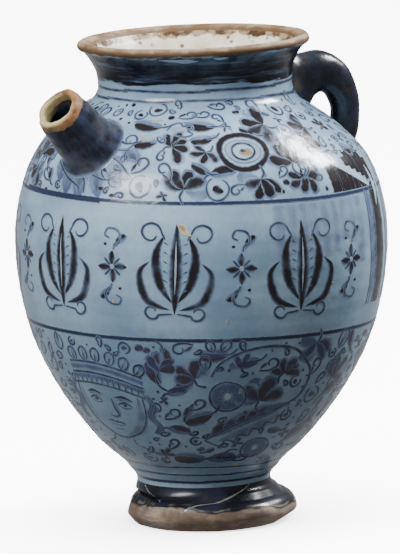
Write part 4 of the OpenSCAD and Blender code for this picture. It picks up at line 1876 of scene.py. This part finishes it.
    def tongue(
        self, paint: Paint, spot: Spot, reach: float, width: float, thick: float, stretch: float = 1.0
    ) -> None:
        """Paints a pointed tongue at the spout's root, stretched by a factor on its reach."""
        path = [(0, 0), (stretch * (reach * 0.5), 0.5), (stretch * reach, 0)]
        self.draw(paint, spot, path, width, Nib.LEAF, thick)

    def spout_root(self) -> None:
        """Paints tongues and tendrils that run out below the spout's root."""
        spot = self.spout_foot
        tongues = (
            (-14, 10, -70, 10), (-5, 9, -82, 13), (3, 8, -76, 12), (10, 10, -60, 13), (17, 14, -45, 11),
        )
        tendrils = (
            ((-18, 8), (-8, 0), (2, -5), (3.2, -8.5)),
            ((-2.2, 4.4), (4.8, -1), (6.4, -8)),
            ((-2.2, 8.8), (5.2, 3.8), (15.8, 0), (20, 0.6)),
            ((18.9, 2.5), (25, 0.8), (31, 1.2)),
            ((13.6, 14.6), (23, 9.4), (30, 3.2), (33, 1.4)),
            ((8, 21.5), (17, 17.5), (25, 17)),
            ((14.7, 24), (21.5, 21.2), (29, 23)),
        )
        dabs = ((15.3, 5.3, -30, 2.2, 2.0), (16.4, -5, 0, 2, 2.6), (23.5, -8.2, 0, 1.8, 2.2))
        for x, y, aim, reach in tongues:
            self.tongue(WASH, spot.beside(x, y, aim), reach, 8.0, 0.7)
        for path in tendrils:
            self.draw(LINE, spot, path, 1.5, Nib.LINE, 1.0)
        for x, y, aim, half, width in dabs:
            self.blot(DARK, spot.beside(x, y, aim), half, 0.2, width, 1.0)

    def foliage(self) -> None:
        """Paints the foliage below the band, around a scroll in each panel."""
        self.brush.zone = Zone.FOLIAGE
        rows = (
            (PLUME, 1.4, 48, 27, 51), (FLOWER, 9.7, 72.4, 0, 9.2),
            (FLOWER, 29, 42.6, 0, 7.6), (CLUSTER, 22.5, 69.5, 95, 11),
            (CLUSTER, 29.9, 83.6, 60, 7.5), (CLUSTER, 40.7, 98, 250, 9), (CLUSTER, 57, 78, 60, 9),
            (LEAF, 8.6, 95, 182, 12), (LOOP, 6.6, 96.4, 60, 7), (LOOP, 3.8, 96.4, 115, 6.5),
            (LEAF, 19.5, 91.5, 190, 10), (CURL, 23.6, 89, 20, 6.2), (CLUSTER, 14, 88.6, 100, 5.5),
            (BUD, 36, 78.4, 0, 3.4), (LEAF, 4.4, 63.4, 205, 13), (CURL, -1.8, 68.4, 30, 5.6),
            (BUD, -2.7, 47.6, 0, 2.9), (LEAF, 2.2, 37.4, 178, 14), (LEAF, 3.4, 37.2, 4, 13),
            (BUD, 17, 39, 0, 4.6), (CURL, 23, 37.4, 10, 5.4), (BUD, 47.4, 70, 0, 5.0),
            (LEAF, 54, 68, 35, 12), (CURL, 49.5, 58, 60, 5.5), (LEAF, 46.5, 45, 40, 15),
            (LOOP, 53, 93, 70, 11), (LEAF, 60.5, 92, 110, 9), (CURL, -6.5, 98, 190, 6),
            (LEAF, -13, 99, -75, 9), (DOT, -20.8, 97.4, 20, 2.4), (DOT, -18.2, 96.4, 20, 2.0),
            (CLUSTER, -14.6, 86, 80, 8), (LEAF, -15.6, 79, 105, 12), (LEAF, -13, 74, 15, 9),
            (CLUSTER, -2.6, 82, 130, 9), (LOOP, 1.5, 87, 95, 8), (CURL, -12, 63, 30, 5.6),
            (LEAF, -15, 55, -12, 10), (CURL, -14.4, 46, 50, 5), (CLUSTER, -20, 39, 90, 4.5),
            (LEAF, -7, 61, 60, 7), (BUD, 38, 60, 0, 3.4), (CURL, 43, 86, 70, 5.4),
        )
        scroll = (
            (3.2, 83.4), (6, 90), (11.6, 95), (19, 98), (26.3, 98.1), (33, 95.5), (37.8, 89.3), (41, 84),
            (41.8, 78), (40.3, 70.5), (35, 66),
        )
        self.head(Spot(-39, 66, -8))
        for turn, flip in ((0, 1.0), (180, -1.0), (90, 1.0)):
            stem = [(turn + flip * side, height) for side, height in scroll]
            self.trail(stem, 1.9)
            self.panel(rows, turn, flip)
            for place in stem:
                self.keep(Spot(*place), 1.2)

    def frieze(self, pairs: int = 9) -> None:
        """Paints the band's upright flowers all around, and faint upright blue streaks at the right.

        Args:
            pairs: Number of palm flowers and of four-petalled flowers.
        """
        self.brush.zone = Zone.BAND
        hand = self.hand
        start = -168
        middle = (self.upper_line + self.lower_line) / 2 + 2.0
        for i in range(pairs):
            turn = start + i * 360 / pairs
            if all(abs(turn - edge) >= 15 for edge in self.edges):
                self.palmette(Spot(turn, middle, hand.uniform(-2, 2)), 23)
        for i in range(pairs):
            self.quatrefoil(Spot(start + (i + 0.5) * 360 / pairs, middle), 8)
        # Faint upright blue streaks across the band at the right.
        for i in range(9):
            drop = hand.uniform(16, 34)
            path = [(0, 0), (hand.uniform(-0.6, 0.6), -drop * 0.6), (0, -drop)]
            width = hand.uniform(5.5, 8.0)
            self.draw(WASH, Spot(25 + 4.1 * i, 168), path, width, Nib.BAND, 0.34)

    def borders(self) -> None:
        """Paints the lines around neck, band and waist, the cracks on the foot, and pale marks below the
        collar's lip.
        """
        self.brush.zone = Zone.BAND
        lines = (
            (self.upper_line, 2.0, 0.2, (-150, -40, 95), 1.1),
            (self.upper_line + 0.2, 3.0, 0.3, (-74, -37), 2.0),
            (self.lower_line, 2.1, 0.2, (-120, 10, 130), 1.1),
            (219.2, 1.6, 0.28, (-130, -46, 6, 52, 110), 0.85),
            (214.9, 1.6, 0.28, (-160, -62, -18, 40, 80, 140), 0.85),
            (31.6, 1.2, 0.3, (-100, -20, 60), 0.8),
            (27.2, 1.6, 0.3, (-60, 20, 90), 1.0),
            (23.0, 1.9, 0.2, (-90, 0, 110), 1.0),
        )
        cracks = (
            ((43, 21), (38, 18.6), (12, 14.2), (-9, 12.6), (-17, 10.4)),
            ((-52, 10.2), (-36, 11.2), (-22, 10.8), (-17, 10.0)),
            ((-62, 19.4), (-51, 15.8), (-41, 13.0)),
        )
        for height, width, wave, breaks, thick in lines:
            self.ring_line(height, width, wave, breaks, thick)
        for places in cracks:
            self.trail(places, 0.6, OCHRE, Nib.LINE, 0.45)
        # Pale marks just below the lip at the front of the collar.
        for turn, height, length in ((-9, 234.2, 9), (-4, 233.4, 6), (14, 234.4, 4)):
            path = [(-length, 0.4), (0, 0), (length, 0.5)]
            self.draw(SCRATCH, Spot(turn, height), path, 1.6, Nib.LEAF, 0.1)

    def field_stroke(self, turn: float, low: float, top: float) -> None:
        """Paints an upright stroke of a solid dark field, between two heights."""
        self.trail([(turn, low), (turn, (low + top) / 2), (turn, top)], 6.6, DARK, Nib.BAND, 2.6)

    def panel_edge(self, turn: float) -> None:
        """Paints the dark upright border between two panels, and the dark fields above it."""
        self.brush.zone = Zone.BAND
        strips = (
            (-9.0, 6.0, WASH, 0.7), (-11.6, 1.2, LINE, 0.8), (0.0, 17.0, DARK, 0.95),
            (-5.0, 1.4, LINE, 0.9), (8.6, 3.6, SCRATCH, 0.1), (11.0, 1.6, LINE, 0.9),
            (15.0, 5.0, WASH, 0.6),
        )
        for side, width, paint, thick in strips:
            path = [(side, -24), (side + 0.8, -8), (side - 0.5, 12), (side + 0.4, 36)]
            self.draw(paint, Spot(turn, 137), path, width, Nib.LINE, thick)
        self.draw(SCRATCH, Spot(turn + 2, 170), [(-2.5, -9), (0.5, 0), (-1.5, 11)], 3.6, Nib.LEAF, 0.1)
        step, slope = 2.6, 0.763
        for i in range(8):
            self.field_stroke(turn - 21.5 + step * i, 171.2, 187.4 - slope * step * i)
        for i in range(6):
            low = max(172.0, 181.8 - slope * step * i)
            self.field_stroke(turn - 10.4 + step * i, low, 190 - 0.11 * (step * i - 5.4) ** 2)
        seam = [(turn - 23, 188), (turn - 12.5, 180), (turn - 1.5, 171.6)]
        self.trail(seam, 3.6, SCRATCH, Nib.LINE, 0.1)
        for side in (-18, -8, 1):
            self.keep(Spot(turn + side, 178), 10)

    def head(self, spot: Spot) -> None:
        """Paints a calm, plain face with a banded headdress and loose locks."""

        def draw(
            paint: Paint, path: Path, width: float, nib: Nib = Nib.LINE, thick: float = 0.7
        ) -> None:
            """Paints a stroke of the head, which is drawn broad and with heavy lines."""
            wide = width * 1.4 if paint is LINE else width
            self.draw(paint, spot, [(x * 1.28, y) for x, y in path], wide, nib, thick)

        jaw = [(-15.5, 8), (-15, -4), (-11, -15), (-4, -21.5), (0, -22.5)]
        jaw += [(4, -21.5), (11, -15), (15, -4), (15.5, 8)]
        draw(WASH, [(13.5, 8), (13, -5), (9, -15), (3, -20.5)], 6.5, Nib.LEAF, 0.5)
        draw(WASH, [(-14, 8), (-13, -5), (-9.5, -14)], 3.0, Nib.LEAF, 0.3)
        draw(LINE, jaw, 1.1)
        bands = (
            (11.0, 1.0, LINE), (14.8, 3.2, WASH), (17.2, 1.1, LINE),
            (20.4, 3.6, WASH), (23.4, 1.1, LINE),
        )
        for low, width, paint in bands:
            arch = [(-17, low - 2.6), (-8, low - 0.2), (0, low + 0.5), (8, low - 0.2), (17, low - 2.6)]
            draw(paint, arch, width, Nib.BAND, 0.8)
        for i in range(12):
            x = -14.3 + 2.6 * i
            y = 11.6 - 0.0105 * x * x
            draw(LINE, [(x, y), (x * 1.01, y + 2.0), (x * 1.02, y + 4.6)], 0.95, Nib.BAND)
        for side in (-1.0, 1.0):
            eye = side * 6.9
            draw(LINE, [(side * 11.0, 4.6), (side * 7.0, 6.3), (side * 2.8, 5.0)], 1.3, Nib.LEAF, 0.9)
            draw(LINE, [(side * 10.4, 0.6), (side * 7.0, 2.8), (side * 3.4, 0.4)], 1.1, Nib.LEAF, 0.9)
            draw(LINE, [(side * 9.6, 0.2), (side * 7.0, -0.9), (side * 4.0, 0.2)], 0.7, Nib.LEAF)
            draw(DARK, [(eye - 0.9, 0.9), (eye, 1.0), (eye + 0.9, 0.9)], 2.2, Nib.BLOB, 0.9)
            draw(WASH, [(side * 10.5, 3.6), (side * 7.0, 4.4), (side * 3.5, 3.4)], 2.0, Nib.LEAF, 0.5)
            lock = [(side * x, y) for x, y in ((16.5, 11), (19, 4), (17, -3), (19.5, -10), (17, -16))]
            draw(WASH, lock, 5.0, Nib.LEAF, 0.8)
            draw(LINE, [(x + side * 1.2, y) for x, y in lock], 1.0)
            draw(LINE, [(x - side * 0.8, y + 1) for x, y in lock], 0.9)
            draw(LINE, [(side * 5.0, -23), (side * 5.6, -26), (side * 10, -29)], 1.0)
        nose = [(1.2, 3.6), (1.5, -2.0), (2.6, -6.6), (0.4, -8.2), (-1.8, -7.4)]
        mouth = [(-4.8, -12.4), (-1.6, -11.6), (0, -12.1), (1.6, -11.6), (4.8, -12.4)]
        draw(LINE, nose, 1.1, Nib.LINE, 0.8)
        draw(WASH, [(2.4, 2), (2.8, -3), (3.4, -6.5)], 2.4, Nib.LEAF, 0.6)
        draw(LINE, mouth, 1.1, Nib.LEAF, 0.9)
        draw(WASH, [(-3.2, -13.4), (0, -14.4), (3.2, -13.4)], 1.9, Nib.LEAF, 0.6)
        draw(LINE, [(-2.2, -16.2), (0, -16.8), (2.2, -16.2)], 0.8, Nib.LEAF)
        for x, aim in ((-17, 115), (-10, 103), (-3, 92), (5, 84), (12, 75), (19, 62)):
            self.loop(spot.beside(x, 24.5 - 0.009 * x * x, aim), 8)
        rooms = ((0, 0, 20), (0, 12, 20), (0, -16, 15), (14, 18, 9), (-14, 18, 9), (16, -6, 9), (-16, -6, 9))
        for x, y, reach in rooms:
            self.keep(spot.beside(x, y), reach)

    def chips(self) -> None:
        """Lays the bare patches where glaze has chipped off."""
        self.brush.zone = Zone.BAND
        patches = (
            (Spot(-5.7, 157.6, -38), 7.5, 3.4), (Spot(-4.4, 155.9, -30), 6, 1.6),
            (Spot(22, 33, 20), 3.4, 1.5), (Spot(-28, 121, 70), 2.4, 1.1),
            (Spot(44, 128, 10), 2, 1), (Spot(-12, 166, 0), 2, 0.9),
            (Spot(8, 112, 80), 2.6, 0.8), (Spot(-55, 150, 30), 2.2, 1.0),
        )
        ragged = ((-0.5, 0), (-0.1, 0.14), (0.2, -0.1), (0.5, 0))
        for spot, length, width in patches:
            path = scaled(length, *ragged, wide=width)
            self.draw(CHIP, spot, path, width, Nib.LEAF, 0.6)

    def deepen(self) -> None:
        """Goes over the wash at the spout's root and the leaves beside it with a full brush."""
        self.brush.zone = Zone.SHOULDER
        tongues = (
            (-16, 12, -78, 13, 7), (-8, 8, -84, 15, 7.5), (0, 6, -80, 15, 7.5), (8, 8, -66, 16, 8),
            (15, 12, -52, 15, 8), (20, 18, -30, 13, 7),
        )
        dots = ((-69, 171.4, 2.4), (-60, 171.0, 1.8), (-52, 170.4, 1.6))
        leaves = ((-70, 177, 70, 9), (-64, 183, 100, 10), (-75, 186, 95, 9), (-58.5, 176, 115, 8))
        for x, y, aim, reach, width in tongues:
            spot = self.spout_foot.beside(x, y, aim)
            self.tongue(WASH, spot, reach, width * 1.3, 1.0, 1.25)
            self.tongue(DARK, spot, reach, width * 0.8, 0.45)
        for turn, height, size in dots:
            self.dot(Spot(turn, height, 10), size)
        for turn, height, aim, size in leaves:
            self.leaf(Spot(turn, height, aim), size)

    def paint(self) -> None:
        """Paints everything on body, collar and foot, always in the same order."""
        self.borders()
        for turn in self.edges:
            self.panel_edge(turn)
        self.shoulder()
        self.scatter(self.shoulder_fill)
        self.foliage()
        self.scatter(self.foliage_fill)
        self.frieze()
        self.chips()
        self.deepen()


def direction(turn: float, rise: float) -> Vector:
    """Points away from the jar, by degrees to the right of the front and above the horizon."""
    a = FRONT + radians(turn)
    e = radians(rise)
    return Vector((cos(a) * cos(e), sin(a) * cos(e), sin(e)))


@dataclass(frozen=True)
class Lamp:
    """Soft box that faces the jar, sized in metres and degrees, with its power in watts."""

    name: str
    turn: float
    rise: float
    reach: float
    wide: float
    tall: float
    power: float
    shine: Shine
    aim_height: float = 0.14

    def build(self) -> None:
        """Hangs the lamp."""
        data = bpy.data.lights.new(self.name, "AREA")
        data.shape = "RECTANGLE"
        data.size = self.wide
        data.size_y = self.tall
        data.energy = self.power
        back = direction(self.turn, self.rise)
        lamp = bpy.data.objects.new(self.name, data)
        lamp.visible_glossy = self.shine.value
        lamp.visible_camera = False
        place = Matrix.Translation(Vector((0, 0, self.aim_height)) + back * self.reach)
        lamp.matrix_world = place @ back.to_track_quat("Z", "Y").to_matrix().to_4x4()
        bpy.context.scene.collection.objects.link(lamp)


@dataclass(frozen=True)
class Studio:
    """Pale floor, soft lights and the camera, with distances in metres and the aim in millimetres."""

    distance: float = 3.6
    rise: float = 8.3
    roll: float = 1.8
    scale: float = 2.0
    long_side: int = 554
    sensor: float = 36.0
    aim_height: float = 122.8
    aim_right: float = -0.35
    floor_radius: float = 40.0
    contact_reach: float = 0.16
    floor_glow: Point = (2.0, 9.0)
    sky_facing: Point = (0.62, 0.98)
    sky_strength: Point = (0.20, 0.62)
    lamps: tuple[Lamp, ...] = (
        Lamp("soft_left", -47, 37, 1.5, 0.7, 0.4, 20, Shine.FULL),
        Lamp("soft_right", 113, 40, 1.4, 0.32, 0.36, 36, Shine.FULL),
        Lamp("soft_top", -15, 72, 1.5, 0.9, 0.9, 32, Shine.SOFT),
        Lamp("soft_front", 10, 2, 2.8, 1.6, 0.9, 2.6, Shine.SOFT),
    )

    def camera(self) -> None:
        """Sets the camera at the photograph's viewing angle."""
        data = bpy.data.cameras.new("studio_camera")
        data.sensor_width = self.sensor
        data.lens = self.scale * self.sensor * self.distance / MM / self.long_side
        data.clip_end = 100
        back = direction(0.0, self.rise)
        above = back.cross(RIGHT)
        tilt = radians(self.roll)
        right = RIGHT * cos(tilt) - above * sin(tilt)
        up = RIGHT * sin(tilt) + above * cos(tilt)
        camera = bpy.data.objects.new("studio_camera", data)
        turn = Matrix((right, up, back)).transposed().to_4x4()
        aim = Vector((0, 0, self.aim_height * MM)) + RIGHT * (self.aim_right * MM)
        camera.matrix_world = Matrix.Translation(aim + back * self.distance) @ turn
        bpy.context.scene.collection.objects.link(camera)
        bpy.context.scene.camera = camera

    def paper(self) -> Material:
        """Makes the floor's white paper, which glows except where the jar shades it."""
        nodes = Nodes("floor_paper")
        shade = nodes.add("AmbientOcclusion", "AO", {"Distance": self.contact_reach}, samples=12)
        glow = nodes.span(shade, 0.1, 0.95, *self.floor_glow)
        nodes.link(glow, nodes.shader.inputs["Emission Strength"])
        nodes.shader.inputs["Emission Color"].default_value = (1, 1, 1, 1)
        nodes.shader.inputs["Specular IOR Level"].default_value = 0.0
        white = nodes.blend(nodes.noise(3, 2), (0.80, 0.80, 0.80, 1), (0.83, 0.83, 0.83, 1))
        return nodes.finish(white, 1.0)

    def floor(self) -> None:
        """Lays the floor, which lights nothing and shows in no highlight."""
        bm = bmesh.new()
        bmesh.ops.create_circle(bm, cap_ends=True, radius=self.floor_radius, segments=64)
        mesh = bpy.data.meshes.new("studio_floor")
        bm.to_mesh(mesh)
        bm.free()
        floor = bpy.data.objects.new("studio_floor", mesh)
        bpy.context.scene.collection.objects.link(floor)
        mesh.materials.append(self.paper())
        floor.visible_diffuse = False
        floor.visible_glossy = False

    def sky(self) -> None:
        """Sets the soft surrounding light, which is brighter behind the jar and below it."""
        world = bpy.data.worlds.new("studio_world")
        world.use_nodes = True
        tree = world.node_tree
        place = tree.nodes.new("ShaderNodeTexCoord")
        facing = tree.nodes.new("ShaderNodeVectorMath")
        facing.operation = "DOT_PRODUCT"
        facing.inputs[1].default_value = Vector((-0.85 * cos(FRONT), -0.85 * sin(FRONT), -0.5))
        ramp = tree.nodes.new("ShaderNodeMapRange")
        tree.links.new(place.outputs["Generated"], facing.inputs[0])
        tree.links.new(facing.outputs["Value"], ramp.inputs["Value"])
        names = ("From Min", "From Max", "To Min", "To Max")
        for name, value in zip(names, self.sky_facing + self.sky_strength):
            ramp.inputs[name].default_value = value
        tree.links.new(ramp.outputs["Result"], tree.nodes["Background"].inputs["Strength"])
        tree.nodes["Background"].inputs["Color"].default_value = (1, 1, 1, 1)
        bpy.context.scene.world = world

    def build(self) -> None:
        """Sets camera, floor, surrounding light and lamps."""
        self.camera()
        self.floor()
        self.sky()
        for lamp in self.lamps:
            lamp.build()


def main() -> None:
    """Builds the jar over its frame, piece by piece."""
    logging.basicConfig(level=logging.INFO, format="%(name)s: %(message)s")
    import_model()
    Studio().build()
    form = JarForm.from_frame()
    skin = Skin(form)
    pale, dark, clay, cream = PaleGlaze(), DarkGlaze(), BareClay(), CreamGlaze()
    Vessel(form, skin).build(pale, dark, clay, cream)
    spout = Spout(skin)
    spout.build(SpoutGlaze().material(spout, pale))
    Handle(skin).build(dark.material())
    brush = Brushwork(skin)
    Ornament(brush).paint()
    brush.dress()


if __name__ == "__main__":
    main()
